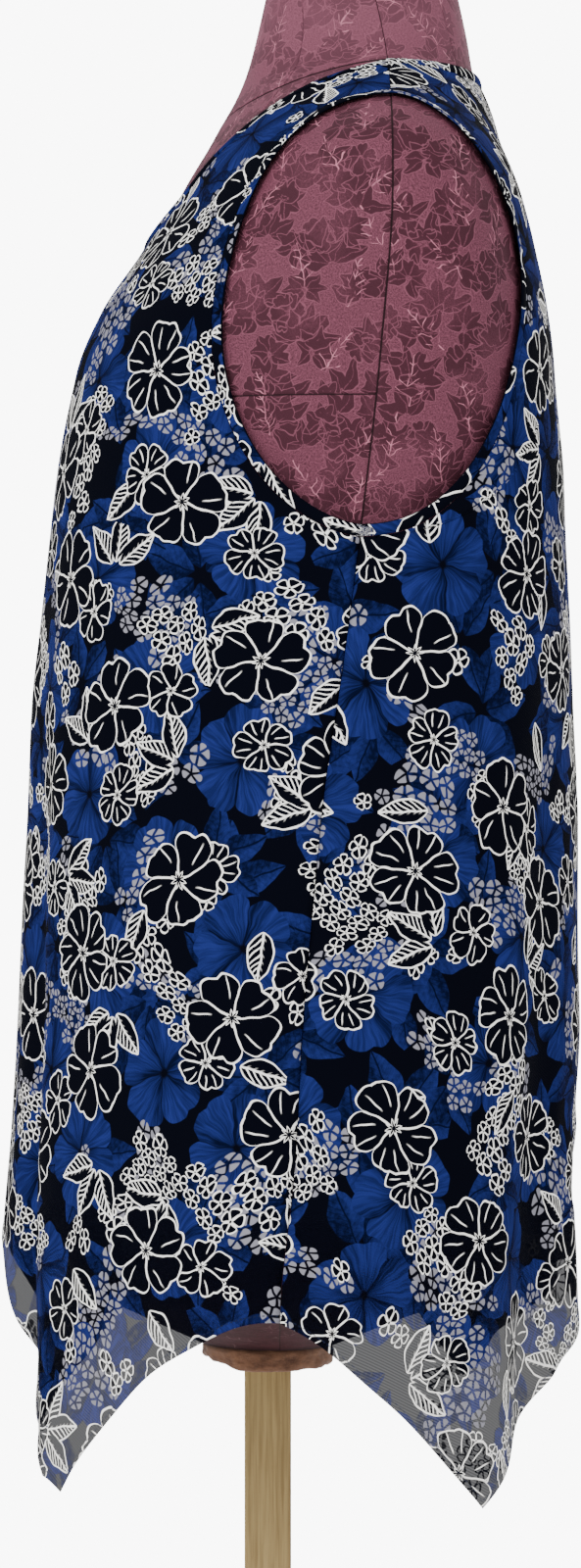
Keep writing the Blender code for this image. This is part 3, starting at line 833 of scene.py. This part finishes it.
def form_heights():
    """Rows up the form, closer at its bottom edge and beside the seams that run across it."""
    beside = np.array([-0.004, -0.0018, -0.0010, 0, 0.0010, 0.0018, 0.004])
    parts = [
        np.linspace(0.6299, 0.70, 22),
        np.linspace(0.706, 1.170, 82),
        CHEST_SEAM_Z + beside,
        np.linspace(1.190, 1.374, 44),
        NECK_SEAM_LEVEL + beside,
        np.linspace(1.395, 1.4436, 14),
        [NECK_TOP_Z - 0.0004, NECK_TOP_Z],
    ]
    return np.concatenate(parts)


def lay_form_panel(bm, places, start, end, offset):
    """One long panel of the form, between two seams, with the cloth's threads straight down its middle."""
    columns, rows = form_columns(start, end), form_heights()
    angle, z = np.meshgrid(columns, rows)
    near_neck = smoothstep(1.335, NECK_SEAM_LEVEL, z) * smoothstep(NECK_TOP_Z, NECK_SEAM_LEVEL, z)
    most = np.where(np.sin(angle) < 0, NECK_SEAM_DROP["front"], NECK_SEAM_DROP["back"])
    drop = most * np.abs(np.sin(angle)) ** 1.6
    z = z + near_neck * (NECK_SEAM_Z - drop - NECK_SEAM_LEVEL)
    reach = form_radius(angle, z)
    groove = np.zeros_like(z)
    for column, seam in ((0, start), (-1, end)):
        groove[:, column] = SIDE_SEAM if seam % 180 == 0 else PANEL_SEAM
    groove[np.abs(rows - NECK_SEAM_LEVEL) < 1e-6] = NECK_SEAM
    front_half = (np.sin(angle) < -1e-6) & (np.abs(np.cos(angle)) > 0.35)
    groove = np.maximum(groove, (np.abs(rows - CHEST_SEAM_Z) < 1e-6)[:, None] & front_half)
    points = surface(reach - SEAM_DEPTH * np.minimum(groove, SIDE_SEAM), angle, z)
    up = distance_along(points, axis=0)
    middle = len(rows) // 2
    flat = np.stack([reach * (angle - columns.mean()) + offset, up - up[middle] + z[middle]], axis=-1)
    lay_grid(bm, places, points, flat, np.stack([angle, groove], axis=-1))


def make_form(material):
    """The padded form: eight long panels, a seam round the neck and one across each side of the chest."""
    bm, places = bmesh.new(), {}
    for number, (start, end) in enumerate(zip(FORM_SEAMS, FORM_SEAMS[1:] + (360,))):
        lay_form_panel(bm, places, start, end, FLAT_STEP * number)
    merge_seam(bm)
    for edge in bm.edges:
        edge.seam = edge.is_boundary or all(places[vert][1][1] > 0.5 for vert in edge.verts)
    turned_in = bmesh.ops.extrude_edge_only(bm, edges=[edge for edge in bm.edges if edge.is_boundary])
    for vert in (item for item in turned_in["geom"] if isinstance(item, bmesh.types.BMVert)):
        seam_y = float(SEAM_LINE.at("y", vert.co.z))
        vert.co.x *= CAP_SHARE
        vert.co.y = seam_y + (vert.co.y - seam_y) * CAP_SHARE
    bmesh.ops.holes_fill(bm, edges=[edge for edge in bm.edges if edge.is_boundary])
    bmesh.ops.recalc_face_normals(bm, faces=bm.faces)
    piece = finish_mesh("form_cover", bm, material, places, BODY_MIDDLE)
    unroll(piece)
    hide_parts("form_body")
    return piece


def round_noise(turn, lobes, level):
    """A soft noise round the plate that meets itself, with more waves the more lobes it has."""
    return noise.noise(Vector((math.cos(turn) * lobes, math.sin(turn) * lobes, level)))


def make_plate(material):
    """The stitched leather disc under the form, a little buckled, with an uneven lower edge."""
    low, high = PLATE_Z
    bm = bmesh.new()
    sizes = {"radius1": PLATE_RADIUS - 0.0005, "radius2": PLATE_RADIUS, "depth": high - low}
    bmesh.ops.create_cone(bm, cap_ends=True, segments=120, **sizes)
    bmesh.ops.translate(bm, verts=bm.verts, vec=(0, 0, (low + high) / 2))
    upright = [edge for edge in bm.edges if abs(edge.verts[0].co.z - edge.verts[1].co.z) > 0.005]
    bmesh.ops.subdivide_edges(bm, edges=upright, cuts=9, use_grid_fill=True)
    for cap in [face for face in bm.faces if len(face.verts) > 4]:
        for thickness in PLATE_INSETS:
            bmesh.ops.inset_region(bm, faces=[cap], thickness=thickness, depth=0)
        bmesh.ops.poke(bm, faces=[cap])
    bmesh.ops.recalc_face_normals(bm, faces=bm.faces)
    for vert in bm.verts:
        reach = math.hypot(vert.co.x, vert.co.y)
        turn = math.atan2(vert.co.y, vert.co.x)
        share = (vert.co.z - low) / (high - low)
        if reach > PLATE_RADIUS - 0.001:
            wave, fine = round_noise(turn, 3, share * 1.6), round_noise(turn, 11, share * 4 + 5)
            round_off = PLATE_ROUNDED * (abs(2 * share - 1) ** 5)
            rim = PLATE_RADIUS - PLATE_WORN + PLATE_WAVY * wave + PLATE_ROUGH * fine - round_off
            vert.co.x *= rim / reach
            vert.co.y *= rim / reach
        sag, ragged = PLATE_SAG * round_noise(turn, 2.2, 9), PLATE_RAGGED * round_noise(turn, 6, 2)
        thinner = PLATE_THINNER * smoothstep(0.35, 0.95, -vert.co.y / PLATE_RADIUS)
        vert.co.z += (1 - share) * max(sag + thinner + ragged, 0)
    piece = finish_mesh("leather_plate", bm, material)
    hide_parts("bottom_plate")
    return piece


# ---------------------------------------------------------------- materials


def colour(red, green, blue):
    """A colour given as it looks on a screen, 0 to 255, as the linear values that a shader takes."""
    parts = [part / 255 for part in (red, green, blue)]
    return tuple(p / 12.92 if p <= 0.04045 else ((p + 0.055) / 1.055) ** 2.4 for p in parts) + (1,)


class Wire:
    """The output of a node, with arithmetic that adds Math nodes."""

    def __init__(self, shade, socket):
        self.shade, self.socket = shade, socket

    def math(self, operation, *others, clamp=False):
        return self.shade.node("ShaderNodeMath", (self, *others), operation=operation, use_clamp=clamp)

    def __add__(self, other):
        return self.math("ADD", other)

    def __sub__(self, other):
        return self.math("SUBTRACT", other)

    def __rsub__(self, other):
        return self.math("MULTIPLY_ADD", -1.0, other)

    def __mul__(self, other):
        return self.math("MULTIPLY", other)

    def __pow__(self, other):
        return self.math("POWER", other)

    def __abs__(self):
        return self.math("ABSOLUTE")

    __radd__ = __add__
    __rmul__ = __mul__

    def more_than(self, other):
        return self.math("GREATER_THAN", other)

    def fraction(self):
        return self.math("FRACT")

    def ramp(self, low, high):
        """0 at low and 1 at high, straight between them, and the reverse where low is the larger."""
        scale = 1 / (high - low)
        return self.math("MULTIPLY_ADD", scale, -low * scale, clamp=True)


class Shade:
    """One material and its nodes."""

    def __init__(self, name, **constants):
        self.material = bpy.data.materials.new(name)
        self.material.use_nodes = True
        self.tree = self.material.node_tree
        self.shader = self.tree.nodes["Principled BSDF"]
        for socket, value in constants.items():
            self.shader.inputs[socket.replace("_", " ")].default_value = value

    def node(self, kind, values=(), output=0, **settings):
        made = self.tree.nodes.new(kind)
        for setting, value in settings.items():
            setattr(made, setting, value)
        for key, value in values.items() if isinstance(values, dict) else enumerate(values):
            if isinstance(value, Wire):
                self.tree.links.new(value.socket, made.inputs[key])
            else:
                made.inputs[key].default_value = value
        return Wire(self, made.outputs[output])

    def vector(self, operation, *values, output=0):
        return self.node("ShaderNodeVectorMath", values, output, operation=operation)

    def mix(self, factor, low, high):
        return self.node("ShaderNodeMix", {0: factor, 6: low, 7: high}, 2, data_type="RGBA")

    def noise(self, place, scale, detail=2.0, roughness=0.5, output=0, dimensions="2D"):
        values = {"Vector": place, "Scale": scale, "Detail": detail, "Roughness": roughness}
        return self.node("ShaderNodeTexNoise", values, output, noise_dimensions=dimensions)

    def solid_noise(self, place, scale, detail=2.0, roughness=0.5):
        return self.noise(place, scale, detail, roughness, dimensions="3D")

    def map(self, title):
        return self.node("ShaderNodeUVMap", uv_map=title)

    def object_place(self):
        return self.node("ShaderNodeTexCoord", output=3)

    def split(self, place):
        made = self.node("ShaderNodeSeparateXYZ", (place,))
        return [Wire(self, made.socket.node.outputs[k]) for k in range(3)]

    def join(self, x, y, z=0.0):
        return self.node("ShaderNodeCombineXYZ", (x, y, z))

    def bump(self, height, strength, distance):
        return self.node("ShaderNodeBump", {"Height": height, "Strength": strength, "Distance": distance})

    def finish(self, **sockets):
        for name, wire in sockets.items():
            self.tree.links.new(wire.socket, self.shader.inputs[name.replace("_", " ")])
        return self.material


class Motif:
    """One motif in each cell of a turned square grid: how far a point lies from its middle, and which way.

    Each cell has its own chance and three dice, from 0 to 1. The seed keeps the layers of motifs apart,
    stray is how far a motif may lie from the middle of its cell, and spin how far it may turn either way.
    """

    def __init__(self, shade, place, size, turn, seed, stray, spin=math.pi):
        self.shade, self.size, self.seed = shade, size, seed
        turned = self.rotated(place, turn)
        grid = shade.vector("MULTIPLY_ADD", turned, (1 / size,) * 3, (seed * 0.37, seed * 0.61, 0))
        self.cell = shade.vector("ADD", shade.vector("FLOOR", grid), (0.5, 0.5, seed))
        self.chance = shade.node("ShaderNodeTexWhiteNoise", {"Vector": self.cell}, noise_dimensions="3D")
        dice = Wire(shade, self.chance.socket.node.outputs["Color"])
        self.dice = shade.split(dice)
        inside = shade.vector("SUBTRACT", shade.vector("FRACTION", grid), (0.5, 0.5, 0.5))
        stray_by = shade.vector("MULTIPLY_ADD", dice, (-stray, -stray, 0), (stray / 2, stray / 2, 0))
        moved = shade.vector("MULTIPLY", shade.vector("ADD", inside, stray_by), (size, size, 0))
        angle = (self.chance * 7.31).fraction() * (2 * spin) - (spin + turn)
        spun = self.rotated(moved, angle)
        x, y, _ = shade.split(spun)
        self.out = shade.vector("LENGTH", spun, output=1)
        self.turn = x.math("ARCTAN2", y)

    def rotated(self, place, turn):
        values = {"Vector": place, "Angle": turn}
        return self.shade.node("ShaderNodeVectorRotate", values, rotation_type="Z_AXIS")

    def cluster(self, spread, threshold):
        """1 in the cells where a soft noise is over a threshold, so that cells fall into clusters."""
        moved = self.shade.vector("ADD", self.cell, (self.seed * 7, self.seed * 3, 0))
        return self.shade.noise(moved, self.size / spread, 1.0).more_than(threshold)

    def petals(self, radius, count, notch, dent=0.05, curl=0.0, ripple=0.0):
        """A flower: how far a point lies outside its rim, how far from the line between two petals, and its
        share of the way round its petal.

        Notch cuts the rim between the petals and dent at their tips, curl bends the petals sideways, and
        ripple makes them uneven.
        """
        turn = self.turn + self.out * (self.dice[0] - 0.5) * (curl / radius) if curl else self.turn
        around = (turn * (count / (2 * math.pi))).fraction()
        off = abs(around - 0.5) * 2
        rim = (1 - notch * off**5 - dent * off.ramp(0.24, 0)) * radius
        if ripple:
            slow = (self.turn * 2 + self.dice[1] * 6.3).math("SINE")
            quick = (self.turn * 13 + self.dice[2] * 6.3).math("SINE")
            rim = rim * (slow * ripple + quick * (ripple * 0.22) + 1)
        return self.out - rim, self.out * (1 - off) * (math.pi / count), around

    def leaf(self, most, spread, start, length, width):
        """One of a fan of leaves, with most of them either way: how far a point lies outside its rim,
        across its midrib and along it, and 1 between the leaf's ends.
        """
        step = (self.turn * (1 / spread)).math("ROUND").math("MINIMUM", most).math("MAXIMUM", most * -1.0)
        turn = self.turn - step * spread
        along = self.out * turn.math("COSINE") - start
        across = self.out * turn.math("SINE")
        share = along.ramp(0, length)
        half = (share**0.8 * math.pi).math("SINE") * width
        inside = (share * (1 - share)).more_than(0.0001)
        return abs(across) - half, across, along, inside


def stroke(distance, width):
    """1 on a line of a width, by the distance from its middle."""
    return abs(distance).ramp(width / 2 + SOFT_EDGE, width / 2 - SOFT_EDGE)


def either(first, *others):
    for other in others:
        first = first.math("MAXIMUM", other)
    return first


SOFT_EDGE = 0.00012  # how far a drawn line fades, each way from its edge
INK = colour(4, 5, 13)
BLUE_DEEP = colour(5, 9, 32)
BLUE_LIGHT = colour(31, 41, 102)
WHITE = colour(252, 250, 245)
SILVER = colour(124, 123, 132)


def inked(shade, ground, fill, lines):
    """A motif filled with the dark ink and drawn in the pale one, and where the pale ink is."""
    return shade.mix(lines, shade.mix(fill, ground, INK), WHITE), lines


def blue_leaves(shade, ground, place, streaks, size, turn, seed):
    """A fan of broad blue leaves with a dark midrib, lighter on one side of it."""
    motif = Motif(shade, place, size, turn, seed, 0.30)
    rim, across, along, inside = motif.leaf(2, 1.05, size * 0.05, size * 0.45, size * 0.118)
    fill = rim.ramp(0.0001, -0.0002) * inside * motif.chance.more_than(0.03)
    vein = ((along + abs(across) * -0.9) * 290).fraction().ramp(0.75, 1) * 0.16
    light = streaks * 0.75 + across.ramp(-0.004, 0.005) * 0.42 + along.ramp(0, size * 0.5) * 0.35
    shine = light - stroke(across, 0.0009) * 0.5 - vein - 0.42
    return shade.mix(fill, ground, shade.mix(shine.ramp(0, 1), BLUE_DEEP, BLUE_LIGHT))


def blue_flowers(shade, ground, place, size, turn, seed, count):
    """Large soft blue flowers, streaked from a dark centre, each petal lying over the next."""
    motif = Motif(shade, place, size, turn, seed, 0.24)
    edge, aside, around = motif.petals(size * 0.39, count, 0.24, 0.05, 0.5, 0.06)
    fill = edge.ramp(0.0001, -0.0002) * motif.chance.more_than(0.04)
    spokes = shade.join(motif.turn * 11, motif.out * 40 + motif.chance * 40)
    rays = shade.noise(spokes, 1.0, 2.0, 0.65).ramp(0.36, 0.66)
    middle = motif.out.ramp(size * 0.015, size * 0.22)
    tone = rays * 0.46 + middle * 0.42 + around.ramp(0, 0.45) * 0.42 - 0.46
    petal = shade.mix(tone.ramp(0, 1), BLUE_DEEP, BLUE_LIGHT)
    core = either(aside.ramp(0.0006, 0.0001) * 0.7, motif.out.ramp(0.0034, 0.0016))
    return shade.mix(fill, ground, shade.mix(core, petal, INK))


def silver_florets(shade, ground, place, size, turn, seed, threshold):
    """Clusters of florets with separate drop-shaped petals."""
    motif = Motif(shade, place, size, turn, seed, 0.14)
    edge, aside, _ = motif.petals(size * 0.46, 5, 0.42, 0.0)
    petal = edge.ramp(0.0001, -0.0001) * aside.ramp(0.0005, 0.0009) * motif.out.ramp(0.0006, 0.0010)
    fill = petal * motif.cluster(0.055, threshold)
    return shade.mix(fill, ground, SILVER), fill


def white_florets(shade, ground, place, size, turn, seed, threshold):
    """Clusters of outlined florets."""
    motif = Motif(shade, place, size, turn, seed, 0.14)
    edge, aside, _ = motif.petals(size * 0.46, 5, 0.46, 0.0)
    there = motif.cluster(0.055, threshold)
    inside = edge.ramp(0.0002, 0)
    parting = aside.ramp(0.00060, 0.00032) * inside
    lines = either(stroke(edge, 0.0008), parting) * motif.out.ramp(0.0004, 0.0007) * there
    return inked(shade, ground, inside * there, lines)


def outlined_leaves(shade, ground, place, size, turn, seed, reach):
    """Outlined leaves with feathered veins, alone or in threes."""
    motif = Motif(shade, place, size, turn, seed, 0.34)
    in_threes = motif.dice[2].more_than(0.42)
    rim, across, along, inside = motif.leaf(in_threes, 0.86, 0.004, reach, reach * 0.25)
    there = inside * motif.chance.more_than(0.12)
    feather = ((along + abs(across) * -1.15) * (1 / 0.0039)).fraction().more_than(0.70)
    veins = feather * rim.ramp(-0.0006, -0.0010) * across.ramp(-0.002, 0.001)
    lines = either(stroke(rim, 0.0010), stroke(across, 0.0011), veins) * there
    return inked(shade, ground, rim.ramp(0.0001, -0.0002) * there, lines)


def outlined_flowers(shade, ground, place, size, turn, seed, count, radius, line):
    """Dark flowers drawn in a pale outline, with part lines, short veins and a star at the centre."""
    motif = Motif(shade, place, size, turn, seed, 0.34)
    edge, aside, around = motif.petals(radius, count, 0.32, 0.06, 0.55, 0.085)
    there = motif.chance.more_than(0.10)
    inside = edge.ramp(0.0002, 0)
    parting = stroke(aside, line) * inside
    vein = abs(abs(around - 0.5) - 0.19) * motif.out * (2 * math.pi / count)
    long_vein = motif.out.ramp(radius * 0.44, radius * 0.54) * motif.out.ramp(radius * 0.96, radius * 0.82)
    veined = (motif.dice[1] + around.more_than(0.5) * 0.5).more_than(0.45)
    veins = stroke(vein, line * 0.7) * long_vein * veined
    point = abs((motif.turn * (8 / (2 * math.pi))).fraction() - 0.5)
    star = motif.out - (point * 0.26 + 0.06) * radius
    heart = motif.out.more_than(radius * 0.11)
    lines = either(stroke(edge, line), parting * heart, veins, stroke(star, line * 0.9)) * there
    return inked(shade, ground, inside * there, lines)


def printed(shade, place):
    """The whole print in layers, from the ground up: its colour, its pale ink and its silver ink."""
    wobble = shade.noise(place, 85, 1.0, output=1)
    place = shade.vector("MULTIPLY_ADD", wobble, (0.0030, 0.0030, 0), place)
    drift = shade.noise(place, 21, 0.0, output=1)
    drifted = shade.vector("MULTIPLY_ADD", drift, (0.017, 0.017, 0), place)
    streaks = shade.noise(place, 300, 2.0, 0.6)
    tint = blue_leaves(shade, INK, place, streaks, 0.082, 0.35, 3.0)
    tint = blue_leaves(shade, tint, place, streaks, 0.067, 1.13, 7.0)
    tint = blue_flowers(shade, tint, place, 0.076, 0.62, 11.0, 5)
    tint, silver = silver_florets(shade, tint, drifted, 0.0106, 0.22, 17.0, 0.595)
    tint, florets = white_florets(shade, tint, drifted, 0.0116, 0.81, 23.0, 0.62)
    tint, leaves = outlined_leaves(shade, tint, place, 0.076, 0.15, 29.0, 0.029)
    tint, small = outlined_flowers(shade, tint, place, 0.078, 0.52, 31.0, 5, 0.0160, 0.0009)
    tint, large = outlined_flowers(shade, tint, place, 0.089, 1.01, 41.0, 5, 0.0255, 0.0011)
    return tint, either(florets, leaves, small, large), silver


# The knit: how far apart its ribs lie and how they slope, and the stitches of the narrow hem.
RIB, RIB_SLOPE = 0.0017, 0.55
STITCHES_TO_A_METRE, STITCH_SHARE = 420, 0.62
STITCH_LINE, STITCH_WIDTH = NARROW_HEM - 0.0012, 0.0007
SHEER_OPACITY = 0.87  # of the dark ground at the hem
SHEER_FADE = 0.05  # the height over which the cloth turns sheer


def print_cloth(name, use):
    """Thin knit with a dense print. Below SHEER_Z its dark ground lets a little light through."""
    shade = Shade(name, Roughness=0.95, Specular_IOR_Level=0.02)
    place = shade.map("flat")
    tint, pale, silver = printed(shade, place)
    along, from_edge, _ = shade.split(shade.map("edge"))
    u, v, _ = shade.split(place)
    rib = ((v + u * RIB_SLOPE) * (2 * math.pi / RIB)).math("SINE")
    if use == "binding":
        tint = shade.mix(from_edge.ramp(0.0008, 0.0004), tint, INK)
        height = from_edge.ramp(0.0059, 0.0065) * -0.8 + rib * 0.1
        return shade.finish(Base_Color=tint, Normal=shade.bump(height, 0.35, 0.0004))
    one_stitch = stroke((along * STITCHES_TO_A_METRE).fraction() - 0.5, STITCH_SHARE)
    stitch = one_stitch * stroke(from_edge - STITCH_LINE, STITCH_WIDTH)
    tint = shade.mix(stitch * 0.8, tint, colour(26, 32, 54))
    weave = shade.bump(rib, 0.25, 0.0003)
    if use == "lined":
        return shade.finish(Base_Color=tint, Normal=weave)
    _, _, z = shade.split(shade.object_place())
    _, _, dye = shade.split(tint)
    ink = either(dye.ramp(0.006, 0.03) * 0.04, silver * 0.09, pale * 0.12)
    opacity = ink + rib * 0.02 + SHEER_OPACITY + z.ramp(SHEER_Z - SHEER_FADE, SHEER_Z) * 0.2
    return shade.finish(Base_Color=tint, Alpha=opacity.math("MINIMUM", 1.0), Normal=weave)


# The leaf sprays of the form's cover: cell size, turn, seed, leaves to each side of the middle one, the
# angle between them, and their length and half width.
FORM_LEAVES = [
    (0.041, 0.25, 9.0, 2, 0.62, 0.0200, 0.0042),
    (0.035, 0.80, 19.0, 1, 0.95, 0.0175, 0.0046),
    (0.030, 1.30, 27.0, 3, 0.80, 0.0120, 0.0036),
]


def form_cloth():
    """Figured weave in one colour family: dull leaves and flowers on a speckled ground, and pale twigs."""
    shade = Shade("form_jacquard", Roughness=0.7, Specular_IOR_Level=0.1)
    place = shade.map("flat")
    wobble = shade.noise(place, 60, 2.0, output=1)
    place = shade.vector("MULTIPLY_ADD", wobble, (0.009, 0.009, 0), place)
    dull, rims = [], []
    for size, turn, seed, most, spread, length, width in FORM_LEAVES:
        spray = Motif(shade, place, size, turn, seed, 0.22, 0.7)
        rim, across, _, inside = spray.leaf(most, spread, 0.0012, length, width)
        dull.append(rim.ramp(0.0003, -0.0003) * inside * abs(across).ramp(0.0001, 0.0004))
        rims.append(stroke(rim, 0.0006) * inside)
    flower = Motif(shade, place, 0.047, 0.3, 3.0, 0.2)
    edge, aside, _ = flower.petals(0.0100, 6, 0.38, 0.1)
    dull.append(edge.ramp(0.0004, -0.0004) * aside.ramp(0.0002, 0.0006) * flower.out.ramp(0.0016, 0.0022))
    rims.append(stroke(edge, 0.0007))
    twig = Motif(shade, place, 0.033, 0.2, 15.0, 0.3, 0.9)
    rim, across, along, inside = twig.leaf(0, 6.0, -0.015, 0.030, 0.0062)
    side_twigs = ((along + abs(across) * -0.85) * (1 / 0.0058)).fraction().more_than(0.90)
    pale = either(stroke(across, 0.0006), side_twigs) * rim.ramp(0.0002, -0.0003) * inside
    pale = pale * twig.chance.more_than(0.22) * shade.noise(place, 150, 1.0).ramp(0.36, 0.56)
    speckle = shade.noise(place, 1100, 2.0, 0.75).ramp(0.28, 0.72)
    cloud = shade.noise(place, 24, 2.0).ramp(0.36, 0.50)
    _, _, z = shade.split(shade.object_place())
    _, groove, _ = shade.split(shade.map("edge"))
    tint = shade.mix(speckle, colour(65, 32, 42), colour(113, 63, 79))
    # Over the ground: dull figures, their rims, twigs, painted shade on the underside, a painted highlight
    # on the neck, and the seams, with a painted shadow along the foot where the form meets the plate.
    for share, over in (
        (either(*dull) * (cloud * 0.35 + 0.6), colour(56, 25, 35)),
        (either(*rims) * 0.55, colour(128, 75, 91)),
        (pale * 0.85, colour(177, 111, 128)),
        # painted shade: the form darkened towards its bottom, where the light doesn't reach
        (z.ramp(0.72, 0.66) * 0.85, colour(42, 9, 16)),
        # painted highlight: the neck and shoulders lightened towards the top, where the light falls
        (z.ramp(1.34, 1.41) * 0.2, colour(151, 96, 113)),
        # the seams' own dark lines, and a painted shadow along the form's bottom edge where it meets the
        # plate
        (either(groove.ramp(0.3, 0.9), z.ramp(0.6345, 0.6305) * 0.9), colour(26, 9, 14)),
    ):
        tint = shade.mix(share, tint, over)
    weave = shade.bump(speckle * 0.4 - either(*dull) * 0.4 + pale * 0.9, 0.3, 0.0005)
    return shade.finish(Base_Color=tint, Roughness=0.72 - pale * 0.18, Normal=weave)


def plate_leather():
    """Worn brown suede, creased and darker in its hollows."""
    shade = Shade("plate_suede", Roughness=0.8, Sheen_Weight=0.2, Specular_IOR_Level=0.3)
    place = shade.object_place()
    crease = shade.solid_noise(shade.vector("MULTIPLY", place, (1, 1, 2.2)), 120, 4.0, 0.65)
    patch = shade.solid_noise(place, 45, 3.0)
    fine = shade.solid_noise(place, 900, 2.0, 0.7)
    tone = crease.ramp(0.32, 0.68) * 0.6 + patch.ramp(0.35, 0.65) * 0.4
    tint = shade.mix(tone, colour(72, 44, 31), colour(132, 92, 66))
    tint = shade.mix(fine.ramp(0.55, 0.75) * 0.25, tint, colour(156, 116, 88))
    creased_face = shade.bump(crease + fine * 0.15, 0.7, 0.0012)
    return shade.finish(Base_Color=tint, Roughness=0.86 - patch * 0.12, Normal=creased_face)


def pine(name, grain_axis):
    """Planed softwood: fine grain lines along its length, pin knots and pores."""
    shade = Shade(name, Roughness=0.6, Specular_IOR_Level=0.25)
    place = shade.object_place()

    def drawn_out(share):
        return shade.vector("MULTIPLY", place, [share if axis == grain_axis else 1.0 for axis in range(3)])

    def knots(share, scale, radius):
        spots = shade.node("ShaderNodeTexVoronoi", {"Vector": drawn_out(share), "Scale": scale})
        return spots.ramp(radius, radius * 0.6)

    long_grain = drawn_out(0.04)
    lines = shade.solid_noise(long_grain, 420, 2.0, 0.6)
    bands = shade.solid_noise(long_grain, 110, 1.0)
    warmth = shade.solid_noise(drawn_out(0.2), 16, 2.0)
    pores = shade.solid_noise(drawn_out(0.1), 1500, 2.0, 0.7)
    tone = lines.ramp(0.34, 0.62) * 0.55 + bands.ramp(0.3, 0.7) * 0.25 + warmth.ramp(0.3, 0.7) * 0.2
    tint = shade.mix(tone, colour(124, 101, 62), colour(171, 147, 98))
    tint = shade.mix(pores.ramp(0.58, 0.75) * 0.3, tint, colour(98, 76, 48))
    dark = either(knots(0.45, 17, 0.06), knots(0.25, 38, 0.05))
    tint = shade.mix(dark * 0.85, tint, colour(48, 33, 21))
    grain = shade.bump(lines * 0.5 + pores * 0.3 - dark * 0.4, 0.3, 0.0006)
    return shade.finish(Base_Color=tint, Roughness=0.52 + bands * 0.16, Normal=grain)


def floor_paint():
    """Pale paint, faintly mottled."""
    shade = Shade("pale_floor", Roughness=0.9, Specular_IOR_Level=0.2)
    mottle = shade.solid_noise(shade.object_place(), 3.0, 2.0)
    return shade.finish(Base_Color=shade.mix(mottle, colour(236, 236, 236), colour(243, 243, 243)))


# ---------------------------------------------------------------- the setting


def make_floor():
    """A pale disc that the stand is on."""
    bm = bmesh.new()
    bmesh.ops.create_circle(bm, cap_ends=True, segments=96, radius=FLOOR_RADIUS)
    mesh = bpy.data.meshes.new("floor")
    bm.to_mesh(mesh)
    bm.free()
    mesh.materials.append(floor_paint())
    add_object("floor", mesh)


def make_backdrop():
    """White surroundings, which the camera sees brighter than the light they give off."""
    world = bpy.data.worlds.new("studio")
    world.use_nodes = True
    nodes, links = world.node_tree.nodes, world.node_tree.links
    backdrop = nodes["Background"]
    backdrop.inputs["Color"].default_value = (1, 1, 1, 1)
    bright = nodes.new("ShaderNodeMath")
    bright.operation = "MULTIPLY_ADD"
    bright.inputs[1].default_value = BACKDROP_BRIGHTNESS - ROOM_LIGHT
    bright.inputs[2].default_value = ROOM_LIGHT
    links.new(nodes.new("ShaderNodeLightPath").outputs["Is Camera Ray"], bright.inputs[0])
    links.new(bright.outputs[0], backdrop.inputs["Strength"])
    bpy.context.scene.world = world


def make_lamps():
    for name, (place, size, power) in LAMPS.items():
        lamp = bpy.data.lights.new(name, "AREA")
        lamp.shape = "DISK"
        lamp.size = size
        lamp.energy = power
        light = add_object(name, lamp)
        light.location = place
        light.rotation_euler = (Vector(LAMPS_AIM) - Vector(place)).to_track_quat("-Z", "Y").to_euler()


def make_camera():
    camera = bpy.data.cameras.new("camera")
    camera.sensor_fit = "VERTICAL"
    camera.sensor_height = 36
    camera.lens = camera.sensor_height * CAMERA_DISTANCE / VIEW_HEIGHT
    viewer = add_object("camera", camera)
    viewer.location = (CAMERA_DISTANCE, CAMERA_Y, CAMERA_Z)
    viewer.rotation_euler = (math.pi / 2, 0, math.pi / 2)
    bpy.context.scene.camera = viewer


def main():
    cloth = [print_cloth("floral_print_" + use, use) for use in ("lined", "sheer")]
    binding_cloth = print_cloth("floral_print_binding", "binding")
    front = make_panel("front_cloth", -1, (0.31, 0.0), *cloth)
    back = make_panel("back_cloth", 1, (1.47, 0.23), *cloth)
    bindings = make_bindings(binding_cloth)
    form = make_form(form_cloth())
    for panel in (front, back):
        area, (width, length) = cut_size(panel)
    for binding in bindings:
        area, (length, _) = cut_size(binding)
    make_plate(plate_leather())
    for node, grain_axis in (("post", 2), ("base_board", 0)):
        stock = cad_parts[node]
        stock.data.materials.clear()
        stock.data.materials.append(pine(node + "_pine", grain_axis))
    make_floor()
    make_backdrop()
    make_lamps()
    make_camera()


main()
